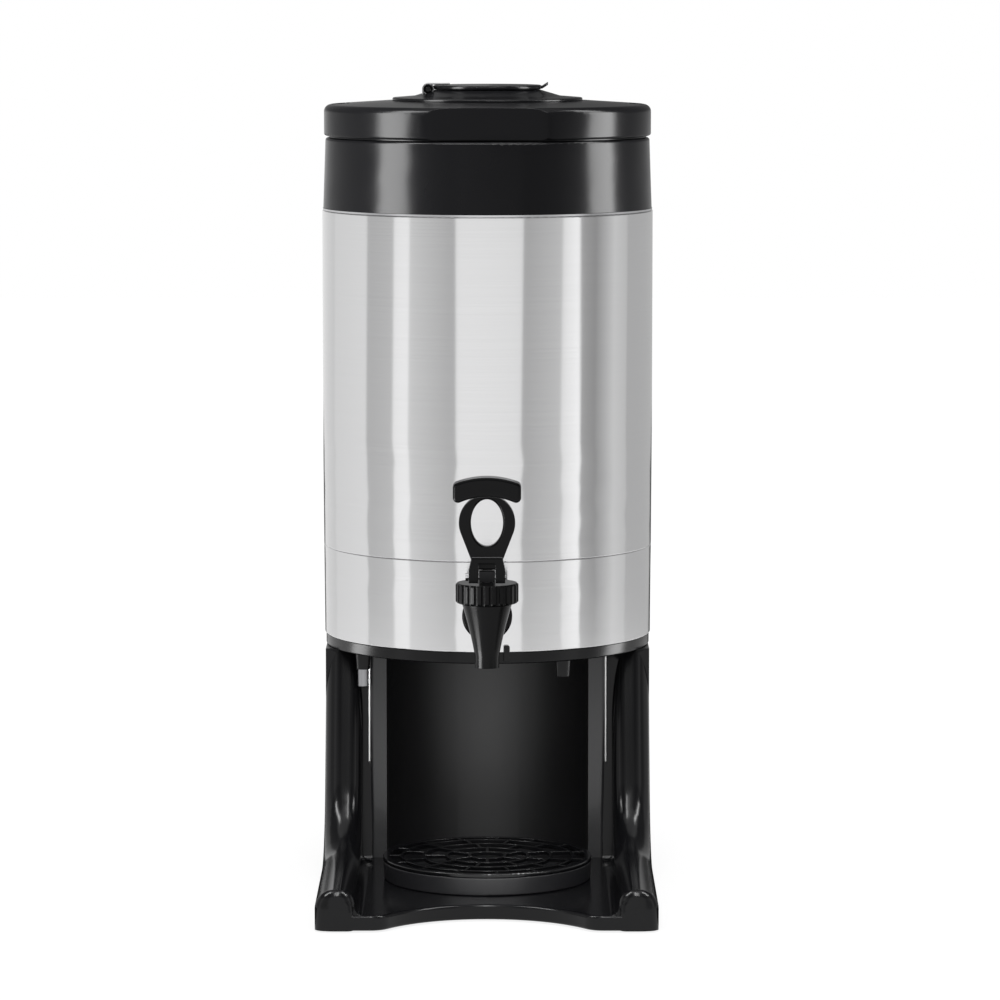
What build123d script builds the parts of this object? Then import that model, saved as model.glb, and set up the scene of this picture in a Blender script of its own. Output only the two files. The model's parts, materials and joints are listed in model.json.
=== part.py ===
from build123d import *
import os
from math import cos, hypot, pi, radians, sin, sqrt, tan

# Insulated coffee dispenser: a steel vessel with a lift-off lid and a sprung fill flap, a pull-lever
# faucet, and a moulded stand with a drip tray. Millimetres, +Z up, the faucet towards -Y.
# Lengths are worked out about the vessel's axis, and "forward" means towards -Y.

os.makedirs("parts", exist_ok=True)

# Clearances shared by all pieces
SEAT_GAP = 0.3          # air between pieces that move past each other
FIT_GAP = 0.25          # air round a piece that slips into its neighbour
RUN_GAP = 0.05          # radial clearance of a pin or a stem in its bore
OVERRUN = 6.0           # how far a cutter runs past the material

# Stand moulding
STAND_IN = 0.7          # the stand's sides and back lie this far inside the support ring
TOE_AHEAD = 143.0       # toes' front, ahead of the steel body
TOE_PROUD = 0.6         # toes stand this far in front of the deck's lip
DECK_T = 10.0
BAY_H = 145.2           # from the deck to the support ring
BITE_R = 80.0           # hollow in the deck's front lip
BITE_DEPTH = 38.0
BITE_CORNER_R = 16.0
LIP_EDGE_R = 2.0
COLUMN_WALL = 3.0
LEG_TOP_D = 13.0        # leg's depth at the top
LEG_BEHIND = 13.7       # its front there lies this far behind the vessel's front bosses
LEG_LEAN_DEG = 20.0     # the leg's front leans forward towards its foot
LEG_INNER_LEAN_DEG = 9.0
LEG_TOP_W = 29.3        # leg's width beside the bay, at the top and at the foot
LEG_FOOT_W = 32.7
RAIL_W = 26.0
RAIL_H = 16.5           # above the deck
RAIL_SWEEP_R = 60.0     # hollow curve from the leg into the rail
DECK_SWEEP_R = 6.0      # hollow curve from the leg into the deck
TOE_NOSE_R = 5.0
RAIL_OUTER_R = 12.5
RAIL_INNER_R = 10.0
RAIL_COVE_R = 6.0       # hollow curve from the rail into the deck
POST_R = 8.0
POST_BORE_R = 5.0
POST_WEB = 8.0

# Rubber feet under the stand
PAD_R = 8.5
PAD_T = 2.5
PAD_PROUD = 1.0
PAD_EDGE_R = 0.6
FRONT_PAD_IN = 14.5     # from the stand's side
FRONT_PAD_BACK = 36.0   # from the toes' front
REAR_PAD_IN = 17.5      # from the stand's round back
REAR_PAD_TURN_DEG = 49.3

# Alcove panel between the legs
ALCOVE_WALL = 2.5
ALCOVE_AHEAD = 12.0     # the panel's front, ahead of the legs' tops
ALCOVE_FLANGE = 12.4
ALCOVE_IN = 0.8         # between the flange and the leg's top
ALCOVE_LIP = 18.0
ALCOVE_EDGE_R = 4.0

# Drip tray and its grille
TRAY_ROOM = 8.8         # between the tray and a leg's foot
TRAY_BEHIND = 27.0      # tray's middle, behind the spout
TRAY_H = 12.0
TRAY_WALL = 2.0
TRAY_DRAFT = 1.0        # the wall leans in by this much towards its foot
TRAY_EDGE_R = 0.7
GRILLE_T = 2.4
GRILLE_RIB = 1.9
GRILLE_RIM = 4.4
GRILLE_SKIRT = 2.0      # locating ring below the grille, inside the tray's wall
GRILLE_SKIRT_WALL = 1.6
GRILLE_RING_SHARES = (0.17, 0.39, 0.61, 0.82)   # ring radii as shares of the grille's radius
GRILLE_SPOKES = (6, 9, 12, 15)                  # ribs outside each ring

# Support ring under the vessel
RING_IN = 1.8           # the ring lies this far inside the steel body
RING_H = 7.7
RING_W = 6.6
RING_EDGE_R = 1.0
LUG_W = 4.0
LUG_T = 1.9
LUG_H = 11.0
LUG_FOOT = 2.0
LUG_TURN_DEG = 6.6      # to the right of the spout

# Steel vessel
BODY_R = 115.0
SEAM_IN = 0.5           # the steel draws in this far at the seam, and at the bottom
BAND_IN = 1.0
BAND_H = 62.1
SHELL_H = 233.8
TAPER_H = 80.0          # the shell draws in over this height above the seam
SHELL_WALL = 1.2
SHELL_HEM = 11.0
SHELL_ROLL_R = 1.0
SEAM_ROLL_R = 0.6
INSULATION = 24.6       # between the two steel walls
LINER_WALL = 1.2
LINER_CORNER_R = 5.0
LINER_LIFT = 8.0        # liner's bottom above the support ring
LINER_LIP_SET = 0.4     # the liner's lip stands this far inside the shell

# Bottom cover and its bosses
COVER_T = 2.5
COVER_SET = 0.8         # the cover's underside above the ring's
COVER_LIP = 2.8         # its lip lies on the ring
BOSS_IN = 6.2           # the bosses' circle, inside the ring's bore
BOSS_TURNS_DEG = (-59.0, 31.0, 121.0, 211.0)    # from the front, to the right
BOSS_TOP_R = 5.6
BOSS_FOOT_R = 4.6
BOSS_DROP = 13.0        # below the cover
STUD_R = 3.65
STUD_DROP = 12.4
STUD_SEAT = 6.0
SCREW_R = 2.0
SCREW_HEAD_R = 3.8
SCREW_HEAD_T = 3.0
SCREW_BITE = 10.0

# Collar round the mouth
COLLAR_IN = 0.7         # the collar's foot lies this far inside the steel body
COLLAR_TAPER = 1.7
COLLAR_H = 48.8
COLLAR_WALL = 3.0
COLLAR_EDGE_R = 2.0
NECK_IN = 2.0           # the neck lies this far inside the liner
NECK_SEAL_H = 2.0

# Lid
LID_OVERHANG = 1.0      # past the collar's top
LID_GAP = 1.2
LID_H = 21.4
LID_WALL = 3.0
LID_TOP_EDGE_R = 5.0
LID_FOOT_EDGE_R = 2.0
LID_CROWN = 3.1         # the crown rises this far from the rim to the tier
FACET_CUT = 7.6         # depth of the flat on the lid's front
GRIP_IN = 11.6          # from the lid's side
GRIP_LENGTH = 12.5
GRIP_W = 28.0
GRIP_DEPTH = 3.0
PLUG_GAP = 1.8          # between the plug and the neck
PLUG_WALL = 2.5
PLUG_DEPTH = 33.0
SEAL_H = 4.0
SEAL_GROOVE = 1.2
SEAL_LIFT = 6.0

# Fill funnel and mixing tube
TIER_W = 15.0
TIER_T = 1.8
TIER_RISE = 1.2         # the tier climbs this far from its edge to the boss
BOSS_SIDE_W = 14.0      # the boss's sloping side
BOSS_RIM_W = 6.0
BOSS_H = 4.1
THROAT_R = 31.0
THROAT_DEPTH = 16.0
FUNNEL_WALL = 3.0
FUNNEL_TIP = 12.0       # the tip reaches this far below the plug
TIP_R = 7.0
TIP_WALL = 1.5
TUBE_WALL = 1.5
TUBE_FOOT_GAP = 25.0    # from the liner's floor
TUBE_SLOT_W = 5.0
TUBE_SLOT_H = 14.0

# Fill flap, its hinge and its spring
FLAP_OVER = 0.5         # past the boss's rim
FLAP_T = 3.1
FLAP_EDGE_R = 1.2
TAB_OUT = 4.5           # past the flap's edge
TAB_W = 17.0
TAB_T = 1.8
TAB_RISE = 2.6
TAB_ROOT = 8.0
TAB_CORNER_R = 2.5
HINGE_GAP = 3.5         # hinge line, past the flap's edge
HINGE_RISE = 0.4        # above the flap's underside
KNUCKLE_R = 3.6
KNUCKLE_W = 10.0
EAR_W = 3.0
HINGE_PIN_R = 1.6
HINGE_PIN_TAIL = 0.8
WIRE_R = 0.6
COIL_TURNS = 3
COIL_PITCH = 1.75
ARM_REACH = 15.0

# Faucet
FAUCET_AHEAD = 32.0     # faucet's axis, ahead of the steel body
SPOUT_R = 8.15
SPOUT_DROP = 4.9        # the spout's end below the steel
SPOUT_TIP_H = 8.0
CONE_H = 35.0
CONE_R = 16.8
CONE_HOLLOW = 0.5       # how far the cone's side bows in
CONE_WALL = 2.6
SPOUT_WALL = 2.65
SEAT_RISE = 24.0        # valve seat above the spout's end
NECK_THREAD_R = 15.5
NECK_THREAD_H = 8.3
NECK_GROOVE = 0.9
SHANK_RISE = 26.1       # shank's axis above the steel's bottom
SHANK_R = 8.5
SHANK_BORE_R = 6.0
SHANK_INSIDE = 12.0     # reach into the liner
FLANGE_R = 17.0
FLANGE_T = 4.0
FLANGE_EDGE = 1.0
WASHER_R = 15.5
WASHER_T = 2.5
INNER_WASHER_R = 11.5
INNER_WASHER_T = 3.5
NUT_ACROSS = 25.0
NUT_T = 7.0
BONNET_R = 21.2
BONNET_H = 13.5
BONNET_EDGE = 1.2
BONNET_RIBS = 26
BONNET_GROOVE_R = 1.3
STEM_R = 3.0
TONGUE_HALF = 5.3
TONGUE_T = 5.0
TONGUE_H = 8.0
CUP_R = 7.6
CUP_H = 9.0
CUP_BITE = 6.5
CUP_EDGE_R = 1.5
STEM_COIL_ROOM = 1.6    # between the stem and its coil
STEM_COIL_TURNS = 5
STEM_COIL_GAP = 0.5

# Lever
PIVOT_RISE = 3.7        # lever's pin above the bonnet
PIVOT_PIN_R = 1.75
PIVOT_HEAD_R = 2.6
PIVOT_HEAD_T = 2.0
FORK_HALF = 12.2
FORK_NECK_HALF = 10.2
FORK_DEPTH = 14.0
FORK_H = 17.3
FORK_SLOT_GAP = 0.4     # between the fork and the stem's tongue
FORK_SLOT_H = 13.5
FORK_EDGE_R = 1.5
LEVER_T = 8.0
EYE_RISE = 40.6         # finger hole's centre above the bonnet
EYE_HALF_W = 10.75
EYE_HALF_H = 15.85
EYE_RIM_R = 18.9
EYE_BEVEL = 1.2
BAR_HALF = 22.9
BAR_H = 13.0
BAR_TOP_RISE = 71.6     # bar's top above the bonnet
BAR_ARCH_R = 59.3
BAR_DEPTH = 17.0
BAR_FORWARD = 2.0       # the bar stands this far forward of the lever's middle
BAR_END_R = 3.5
BAR_EDGE_R = 2.2

# Vessel, ring and cover, from the steel body inwards
SEAM_R = BODY_R - SEAM_IN
BAND_R = BODY_R - BAND_IN
SHELL_HEM_R = BODY_R - SHELL_HEM
LINER_R = BODY_R - SHELL_WALL - INSULATION - LINER_WALL
RING_R = BODY_R - RING_IN
RING_BORE_R = RING_R - RING_W
COVER_LIP_R = RING_BORE_R + COVER_LIP
BOSS_RING_R = RING_BORE_R - BOSS_IN
FAUCET_FWD = BODY_R + FAUCET_AHEAD
OUTLET_R = SPOUT_R - SPOUT_WALL
STEM_COIL_R = STEM_R + WIRE_R + STEM_COIL_ROOM
FORK_SLOT_HALF = TONGUE_HALF + FORK_SLOT_GAP

# Stand, from the ring that it carries
STAND_HALF = RING_R - STAND_IN
FRONT_REACH = BODY_R + TOE_AHEAD
DECK_REACH = FRONT_REACH - TOE_PROUD
LEG_TOP_FWD = BOSS_RING_R * cos(radians(BOSS_TURNS_DEG[0])) - LEG_BEHIND
LEG_BACK_FWD = LEG_TOP_FWD - LEG_TOP_D
LEG_LEAN = tan(radians(LEG_LEAN_DEG))
LEG_INNER_LEAN = tan(radians(LEG_INNER_LEAN_DEG))
LEG_TOP_HALF = STAND_HALF - LEG_TOP_W
LEG_FOOT_HALF = STAND_HALF - LEG_FOOT_W
ALCOVE_R = LEG_TOP_HALF - ALCOVE_IN - ALCOVE_FLANGE
ALCOVE_FWD = LEG_TOP_FWD + ALCOVE_AHEAD
POCKET_HALF = ALCOVE_R + ALCOVE_FLANGE + FIT_GAP
POCKET_FWD = ALCOVE_FWD + FIT_GAP
TRAY_R = LEG_FOOT_HALF - TRAY_ROOM
TRAY_FWD = FAUCET_FWD - TRAY_BEHIND
FRONT_PAD_HALF = STAND_HALF - FRONT_PAD_IN
FRONT_PAD_FWD = FRONT_REACH - FRONT_PAD_BACK
REAR_PAD_R = STAND_HALF - REAR_PAD_IN
REAR_PAD_TURN = radians(REAR_PAD_TURN_DEG)

# Collar and lid, from the body and the liner
COLLAR_R = BODY_R - COLLAR_IN
COLLAR_TOP_R = COLLAR_R - COLLAR_TAPER
NECK_R = LINER_R - NECK_IN
LID_R = COLLAR_TOP_R + LID_OVERHANG
PLUG_R = NECK_R - PLUG_GAP
GRIP_R = LID_R - GRIP_IN
FACET_FWD = LID_R - FACET_CUT
LID_HOLE_R = THROAT_R + FUNNEL_WALL + SEAT_GAP
BOSS_RIM_R = THROAT_R + BOSS_RIM_W
BOSS_BASE_R = BOSS_RIM_R + BOSS_SIDE_W
TIER_R = BOSS_BASE_R + TIER_W
FLAP_R = BOSS_RIM_R + FLAP_OVER
TAB_REACH = FLAP_R + TAB_OUT
HINGE_OUT = FLAP_R + HINGE_GAP

# Levels, from the floor up
DECK_Z = PAD_PROUD + DECK_T
RAIL_Z = DECK_Z + RAIL_H
RING_Z = DECK_Z + BAY_H
BAND_Z = RING_Z + RING_H
SEAM_Z = BAND_Z + BAND_H
SHELL_Z = SEAM_Z + SHELL_H
LINER_Z = BAND_Z + LINER_LIFT
COLLAR_Z = SHELL_Z + LINER_WALL
COLLAR_TOP_Z = COLLAR_Z + COLLAR_H
LID_Z = COLLAR_TOP_Z + LID_GAP
LID_EDGE_Z = LID_Z + LID_H
CROWN_Z = LID_EDGE_Z + LID_CROWN
TIER_Z = CROWN_Z + TIER_T
BOSS_Z = TIER_Z + TIER_RISE + BOSS_H
PLUG_TOP_Z = COLLAR_TOP_Z + SEAT_GAP
PLUG_Z = PLUG_TOP_Z - PLUG_DEPTH
FLAP_Z = BOSS_Z + SEAT_GAP
HINGE_Z = FLAP_Z + HINGE_RISE
COVER_Z = RING_Z + COVER_SET
BOSS_FOOT_Z = COVER_Z - BOSS_DROP
SPOUT_Z = BAND_Z - SPOUT_DROP
CONE_Z = SPOUT_Z + SPOUT_TIP_H
CONE_TOP_Z = CONE_Z + CONE_H
SEAT_Z = SPOUT_Z + SEAT_RISE
SHANK_Z = BAND_Z + SHANK_RISE
NECK_TOP_Z = CONE_TOP_Z + NECK_THREAD_H
BONNET_Z = CONE_TOP_Z + NECK_GROOVE
BONNET_TOP_Z = BONNET_Z + BONNET_H
PIVOT_Z = BONNET_TOP_Z + PIVOT_RISE
CUP_Z = SEAT_Z + SEAT_GAP

# The flap's coil on its pin, in front of the forward ear
EAR_OUT = KNUCKLE_W / 2 + SEAT_GAP + EAR_W
COIL_FWD = EAR_OUT + SEAT_GAP + WIRE_R
COIL_END = COIL_FWD + COIL_PITCH * (COIL_TURNS + 1 / 4) + WIRE_R
COIL_R = FLAP_T - HINGE_RISE + SEAT_GAP + WIRE_R

# The shared origin, at the bottom centre of the whole dispenser's box
AXIS_Y = (FRONT_REACH - BODY_R) / 2


def save(node, shape):
    """Move a piece from the vessel's axis to the shared origin and write it."""
    export_step(Pos(0, AXIS_Y) * shape, f"parts/{node}.step")


def profile(points, rounds=()):
    """Closed outline through the points, with (corner number, radius) rounds."""
    face = make_face(Polyline(*points, close=True))
    for corner, radius in rounds:
        spot = Vector(*points[corner])
        vertex = min(face.vertices(), key=lambda v: (Vector(v.X, v.Y) - spot).length)
        face = fillet(vertex, radius)
    return face


def turned(points, rounds=()):
    """Solid turned about the vertical axis from an outline of (radius, height)."""
    return revolve(Plane.XZ * profile(points, rounds), Axis.Z)


def upright(radius, z0, z1, x=0, y=0):
    """Round bar from z0 to z1."""
    return extrude(Pos(x, y, z0) * Circle(radius), z1 - z0)


def across(radius, x0, x1, y, z):
    """Round bar along X."""
    return extrude(Plane(origin=(x0, y, z), x_dir=(0, 1, 0), z_dir=(1, 0, 0)) * Circle(radius), x1 - x0)


def forward(radius, fwd0, fwd1, z, x=0):
    """Round bar along the forward direction, between two distances in front of the axis."""
    return extrude(Plane(origin=(x, -fwd0, z), x_dir=(1, 0, 0), z_dir=(0, -1, 0)) * Circle(radius), fwd1 - fwd0)


def block(x0, x1, fwd0, fwd1, z0, z1):
    """Box between two sides, two distances forward and two heights."""
    middle = Pos((x0 + x1) / 2, -(fwd0 + fwd1) / 2, (z0 + z1) / 2)
    return middle * Box(abs(x1 - x0), abs(fwd1 - fwd0), z1 - z0)


def both_sides(shape):
    """A piece of the right-hand side, and its mirror image."""
    return shape + mirror(shape, Plane.YZ)


def round_path(points, headings):
    """Smooth wire through the points: two tangent arcs, or a straight, from each to the next."""
    edges = []
    for start, end, leave, arrive in zip(points, points[1:], headings, headings[1:]):
        start, end, leave, arrive = Vector(*start), Vector(*end), Vector(*leave), Vector(*arrive)
        chord = end - start
        if leave.cross(chord).length < chord.length * STRAIGHT_SHARE:
            edges.append(Line(start, end))
            continue
        both = leave + arrive
        spread = 2 - 2 * leave.dot(arrive)
        along = chord.dot(both)
        reach = (sqrt(along ** 2 + spread * chord.dot(chord)) - along) / spread
        middle = (start + end + (leave - arrive) * reach) / 2
        edges.append(TangentArc(start, middle, tangent=leave))
        edges.append(TangentArc(middle, end, tangent=-arrive, tangent_from_first=False))
    return Wire([edge.edge() for edge in edges])


STRAIGHT_SHARE = 1e-6   # a heading this close to its chord is straight


def coil_points(radius, pitch, turns, place):
    """Points and headings of a coil, place giving (point, heading) from angle, radius and climb."""
    steps = [k * pi / 2 for k in range(int(turns * 4) + 1)]
    return [place(a, radius, pitch * a / (2 * pi), pitch / (2 * pi)) for a in steps]


def wire_tube(path, radius):
    """Round wire swept along a path."""
    start = Plane(origin=path @ 0, z_dir=path % 0)
    return sweep(start * Circle(radius), path)


def least_gap(points, radius, skip):
    """Least air between stretches of one wire that lie at least skip points apart."""
    spots = [Vector(*p) for p in points]
    pairs = ((a, b) for i, a in enumerate(spots) for b in spots[i + skip:])
    return min((a - b).length for a, b in pairs) - 2 * radius


def leg_side(floor_z, reach, sweep_r, lean):
    """Side view of a leg that sweeps forward into a rail or into the deck."""
    corner_fwd = LEG_TOP_FWD + (RING_Z - floor_z) * lean
    points = [
        (-LEG_BACK_FWD, PAD_PROUD),
        (-LEG_BACK_FWD, RING_Z),
        (-LEG_TOP_FWD, RING_Z),
        (-corner_fwd, floor_z),
        (-reach, floor_z),
        (-reach, PAD_PROUD),
    ]
    return Plane.YZ * profile(points, [(3, sweep_r)])


def rail_and_toe():
    """Right-hand leg's outer part, running forward as a domed rail to the toe."""
    side = leg_side(RAIL_Z, FRONT_REACH, RAIL_SWEEP_R, LEG_LEAN)
    rail = Pos(STAND_HALF - RAIL_W) * extrude(side, RAIL_W, dir=(1, 0, 0))
    room = TOE_NOSE_R / 2

    def long_edges(side_face):
        edges = side_face.edges().filter_by(lambda e: room - FRONT_REACH < e.center().Y < -LEG_BACK_FWD)
        return edges.filter_by(lambda e: PAD_PROUD + room < e.center().Z < RING_Z - room)

    rail = fillet(long_edges(rail.faces().sort_by(Axis.X)[-1]), RAIL_OUTER_R)
    rail = fillet(long_edges(rail.faces().sort_by(Axis.X)[0]), RAIL_INNER_R)
    nose = rail.faces().sort_by(Axis.Y)[0].edges()
    return fillet(nose.filter_by(lambda e: e.center().Z > PAD_PROUD + room), TOE_NOSE_R)


def rail_cove():
    """Hollow corner between the right-hand rail and the deck."""
    inner = STAND_HALF - RAIL_W
    front = DECK_REACH - LIP_EDGE_R
    hollow_x = inner - RAIL_COVE_R
    hollow_z = DECK_Z + RAIL_COVE_R
    corner = block(hollow_x, inner + RAIL_INNER_R, POCKET_FWD, front, DECK_Z, hollow_z)
    return corner - forward(RAIL_COVE_R, POCKET_FWD - OVERRUN, front + OVERRUN, hollow_z, hollow_x)


def leg_inner():
    """Right-hand leg's inner part, which stands steeper and meets the deck beside the rail."""
    outer = STAND_HALF - RAIL_W + RAIL_INNER_R
    foot_fwd = LEG_TOP_FWD + BAY_H * LEG_INNER_LEAN + DECK_SWEEP_R
    side = leg_side(DECK_Z, foot_fwd, DECK_SWEEP_R, LEG_INNER_LEAN)
    return Pos(LEG_FOOT_HALF) * extrude(side, outer - LEG_FOOT_HALF, dir=(1, 0, 0))


def boss_places(numbers):
    """Places of the vessel's bosses on their circle."""
    turns = [radians(BOSS_TURNS_DEG[k]) for k in numbers]
    return [(BOSS_RING_R * sin(a), -BOSS_RING_R * cos(a)) for a in turns]


def stand_moulding():
    """Foot, side rails, toes, legs and the hollow column, moulded in one."""
    plan = Circle(STAND_HALF) + Pos(0, -LEG_TOP_FWD / 2) * Rectangle(2 * STAND_HALF, LEG_TOP_FWD)
    deck_half = STAND_HALF - RAIL_W / 2
    lip = Pos(0, -DECK_REACH / 2) * Rectangle(2 * deck_half, DECK_REACH)
    bite = Pos(0, BITE_DEPTH - DECK_REACH - BITE_R) * Circle(BITE_R)
    base = plan + lip - bite
    corners = base.vertices().sort_by(Axis.Y)[:4].sort_by(lambda v: abs(v.X))[:2]
    base = fillet(corners, BITE_CORNER_R)
    foot = extrude(Pos(0, 0, PAD_PROUD) * base, DECK_T)
    lip_edges = foot.faces().filter_by(Axis.Z).edges()
    lip_edges = lip_edges.filter_by(lambda e: e.center().Y < BITE_DEPTH + OVERRUN - DECK_REACH)
    foot = fillet(lip_edges, LIP_EDGE_R)
    wall = extrude(Pos(0, 0, DECK_Z) * (plan - offset(plan, -COLUMN_WALL)), BAY_H)
    wall -= block(-BODY_R, BODY_R, LEG_TOP_FWD, BODY_R, DECK_Z, RING_Z)
    bay = profile([
        (-LEG_TOP_HALF, RING_Z + OVERRUN),
        (LEG_TOP_HALF, RING_Z + OVERRUN),
        (LEG_FOOT_HALF, RAIL_Z),
        (LEG_FOOT_HALF, DECK_Z),
        (-LEG_FOOT_HALF, DECK_Z),
        (-LEG_FOOT_HALF, RAIL_Z),
    ])
    bay = Pos(0, -POCKET_FWD) * extrude(Plane.XZ * bay, FRONT_REACH, dir=(0, -1, 0))
    pocket = block(-POCKET_HALF, POCKET_HALF, LEG_BACK_FWD - OVERRUN, POCKET_FWD, DECK_Z, RING_Z + OVERRUN)
    legs = both_sides(rail_and_toe() + leg_inner())
    stand = foot + (wall + legs - bay - pocket) + both_sides(rail_cove())
    for x, y in boss_places((2, 3)):
        stand += upright(POST_R, DECK_Z, BOSS_FOOT_Z, x, y)
        stand -= upright(POST_BORE_R, PAD_PROUD - OVERRUN, BOSS_FOOT_Z - POST_WEB, x, y)
        stand -= upright(SCREW_R + FIT_GAP, DECK_Z, BOSS_FOOT_Z + OVERRUN, x, y)
    for x, y in pad_places():
        stand -= upright(PAD_R + FIT_GAP, 0, PAD_T, x, y)
    return stand


def pad_places():
    """Places of the four rubber feet."""
    front = [(side * FRONT_PAD_HALF, -FRONT_PAD_FWD) for side in (-1, 1)]
    rear = [(side * REAR_PAD_R * sin(REAR_PAD_TURN), REAR_PAD_R * cos(REAR_PAD_TURN)) for side in (-1, 1)]
    return front + rear


def rubber_foot(x, y):
    pad = upright(PAD_R, 0, PAD_T, x, y)
    return fillet(pad.faces().sort_by(Axis.Z)[0].edges(), PAD_EDGE_R)


def alcove_panel():
    """Half-round back of the cup bay, with a flange at each side that turns back."""
    half = ALCOVE_R + ALCOVE_FLANGE
    rim_r = ALCOVE_R + ALCOVE_WALL
    frame = profile([
        (-half, ALCOVE_LIP - ALCOVE_FWD),
        (half, ALCOVE_LIP - ALCOVE_FWD),
        (half, -ALCOVE_FWD),
        (-half, -ALCOVE_FWD),
    ], [(2, ALCOVE_EDGE_R), (3, ALCOVE_EDGE_R)])
    back_half = Pos(0, rim_r / 2 - ALCOVE_FWD) * Rectangle(2 * rim_r, rim_r)
    round_back = back_half & (Pos(0, -ALCOVE_FWD) * Circle(rim_r))
    pocket_w = ALCOVE_FLANGE - 2 * ALCOVE_WALL
    pocket = Pos(rim_r + pocket_w / 2, (ALCOVE_WALL + ALCOVE_LIP) / 2 - ALCOVE_FWD) * Rectangle(
        pocket_w, ALCOVE_LIP - ALCOVE_WALL)
    inside = Pos(0, -ALCOVE_FWD) * Circle(ALCOVE_R)
    panel = frame + round_back - inside - pocket - mirror(pocket, Plane.YZ)
    return extrude(Pos(0, 0, DECK_Z) * panel, BAY_H)


def support_ring():
    """Ring that carries the vessel and its cover on the stand, with a locating lug in front."""
    ring = turned([
        (RING_BORE_R, RING_Z),
        (RING_R, RING_Z),
        (RING_R, BAND_Z),
        (RING_BORE_R, BAND_Z),
    ], [(1, RING_EDGE_R)])
    lug_z = RING_Z + LUG_FOOT
    back_fwd = BAND_R + FIT_GAP
    front_fwd = back_fwd + LUG_T
    lug = block(-LUG_W / 2, LUG_W / 2, back_fwd, front_fwd, lug_z, lug_z + LUG_H)
    root = block(-LUG_W / 2, LUG_W / 2, RING_BORE_R + FIT_GAP, front_fwd, lug_z, BAND_Z - FIT_GAP)
    tip_edges = lug.faces().sort_by(Axis.Z)[-1].edges().filter_by(Axis.Y)
    return ring + Rot(0, 0, LUG_TURN_DEG) * (fillet(tip_edges, LUG_W / 3) + root)


def bottom_cover():
    """Dish that hangs in the support ring by its lip, with four tapered bosses below."""
    rim_r = RING_BORE_R - FIT_GAP
    cover = turned([
        (0, COVER_Z),
        (rim_r, COVER_Z),
        (rim_r, BAND_Z),
        (COVER_LIP_R, BAND_Z),
        (COVER_LIP_R, BAND_Z + COVER_T),
        (rim_r - COVER_T, BAND_Z + COVER_T),
        (rim_r - COVER_T, COVER_Z + COVER_T),
        (0, COVER_Z + COVER_T),
    ])
    boss = turned([(0, BOSS_FOOT_Z), (BOSS_FOOT_R, BOSS_FOOT_Z), (BOSS_TOP_R, COVER_Z), (0, COVER_Z)])
    for x, y in boss_places((0, 1, 2, 3)):
        cover += Pos(x, y) * boss
    for x, y in boss_places((1, 2, 3)):
        cover -= upright(SCREW_R + RUN_GAP, BOSS_FOOT_Z - OVERRUN, BOSS_FOOT_Z + SCREW_BITE, x, y)
    for x, y in boss_places((0,)):
        cover -= upright(STUD_R + RUN_GAP, BOSS_FOOT_Z - OVERRUN, BOSS_FOOT_Z + STUD_SEAT, x, y)
    return cover


def locking_stud():
    x, y = boss_places((0,))[0]
    stud = upright(STUD_R, BOSS_FOOT_Z - STUD_DROP, BOSS_FOOT_Z + STUD_SEAT, x, y)
    return chamfer(stud.faces().sort_by(Axis.Z)[0].edges(), STUD_R / 6)


def vessel_screw(x, y):
    """Screw up through a post of the stand into one of the vessel's bosses."""
    under_web = BOSS_FOOT_Z - POST_WEB
    head = upright(SCREW_HEAD_R, under_web - SCREW_HEAD_T, under_web, x, y)
    return head + upright(SCREW_R, under_web, BOSS_FOOT_Z + SCREW_BITE - RUN_GAP, x, y)


def drip_tray():
    """Round tray that carries the grille on its rim."""
    foot = DECK_Z + SEAT_GAP
    tray = turned([
        (0, foot),
        (TRAY_R - TRAY_DRAFT, foot),
        (TRAY_R, foot + TRAY_H),
        (TRAY_R - TRAY_WALL, foot + TRAY_H),
        (TRAY_R - TRAY_DRAFT - TRAY_WALL, foot + TRAY_WALL),
        (0, foot + TRAY_WALL),
    ], [(2, TRAY_EDGE_R), (1, TRAY_EDGE_R)])
    return Pos(0, -TRAY_FWD) * tray


def drip_grille():
    """Flat grille of rings, with ribs that step round from one ring to the next."""
    radius = TRAY_R
    rings = [share * radius for share in GRILLE_RING_SHARES]
    net = Circle(radius) - Circle(radius - GRILLE_RIM)
    for ring in rings:
        net += Circle(ring + GRILLE_RIB / 2) - Circle(ring - GRILLE_RIB / 2)
    for ring, outside, count in zip(rings, rings[1:] + [radius - GRILLE_RIM / 2], GRILLE_SPOKES):
        rib = Pos((ring + outside) / 2) * Rectangle(outside - ring, GRILLE_RIB)
        for k in range(count):
            net += Rot(0, 0, 360 / count * (k + 0.5)) * rib
    foot = DECK_Z + TRAY_H + 2 * SEAT_GAP
    skirt_r = TRAY_R - TRAY_WALL - SEAT_GAP
    skirt = Circle(skirt_r) - Circle(skirt_r - GRILLE_SKIRT_WALL)
    grille = extrude(net, GRILLE_T)
    grille = fillet(grille.faces().sort_by(Axis.Z)[-1].outer_wire().edges(), TRAY_EDGE_R)
    return Pos(0, -TRAY_FWD, foot) * (grille + extrude(skirt, -GRILLE_SKIRT))


def shank_hole(fwd0, fwd1):
    return forward(SHANK_R + FIT_GAP, fwd0, fwd1, SHANK_Z)


def lower_band():
    """Lower steel wall, hemmed in at the bottom, with the faucet's hole."""
    hem_r = COVER_LIP_R + FIT_GAP
    band = turned([
        (hem_r, BAND_Z),
        (BAND_R, BAND_Z),
        (SEAM_R, SEAM_Z),
        (SEAM_R - SHELL_WALL, SEAM_Z),
        (BAND_R - SHELL_WALL, BAND_Z + SHELL_WALL),
        (hem_r, BAND_Z + SHELL_WALL),
    ], [(1, SHELL_ROLL_R), (2, SEAM_ROLL_R)])
    return band - shank_hole(LINER_R, BODY_R + OVERRUN)


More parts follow.
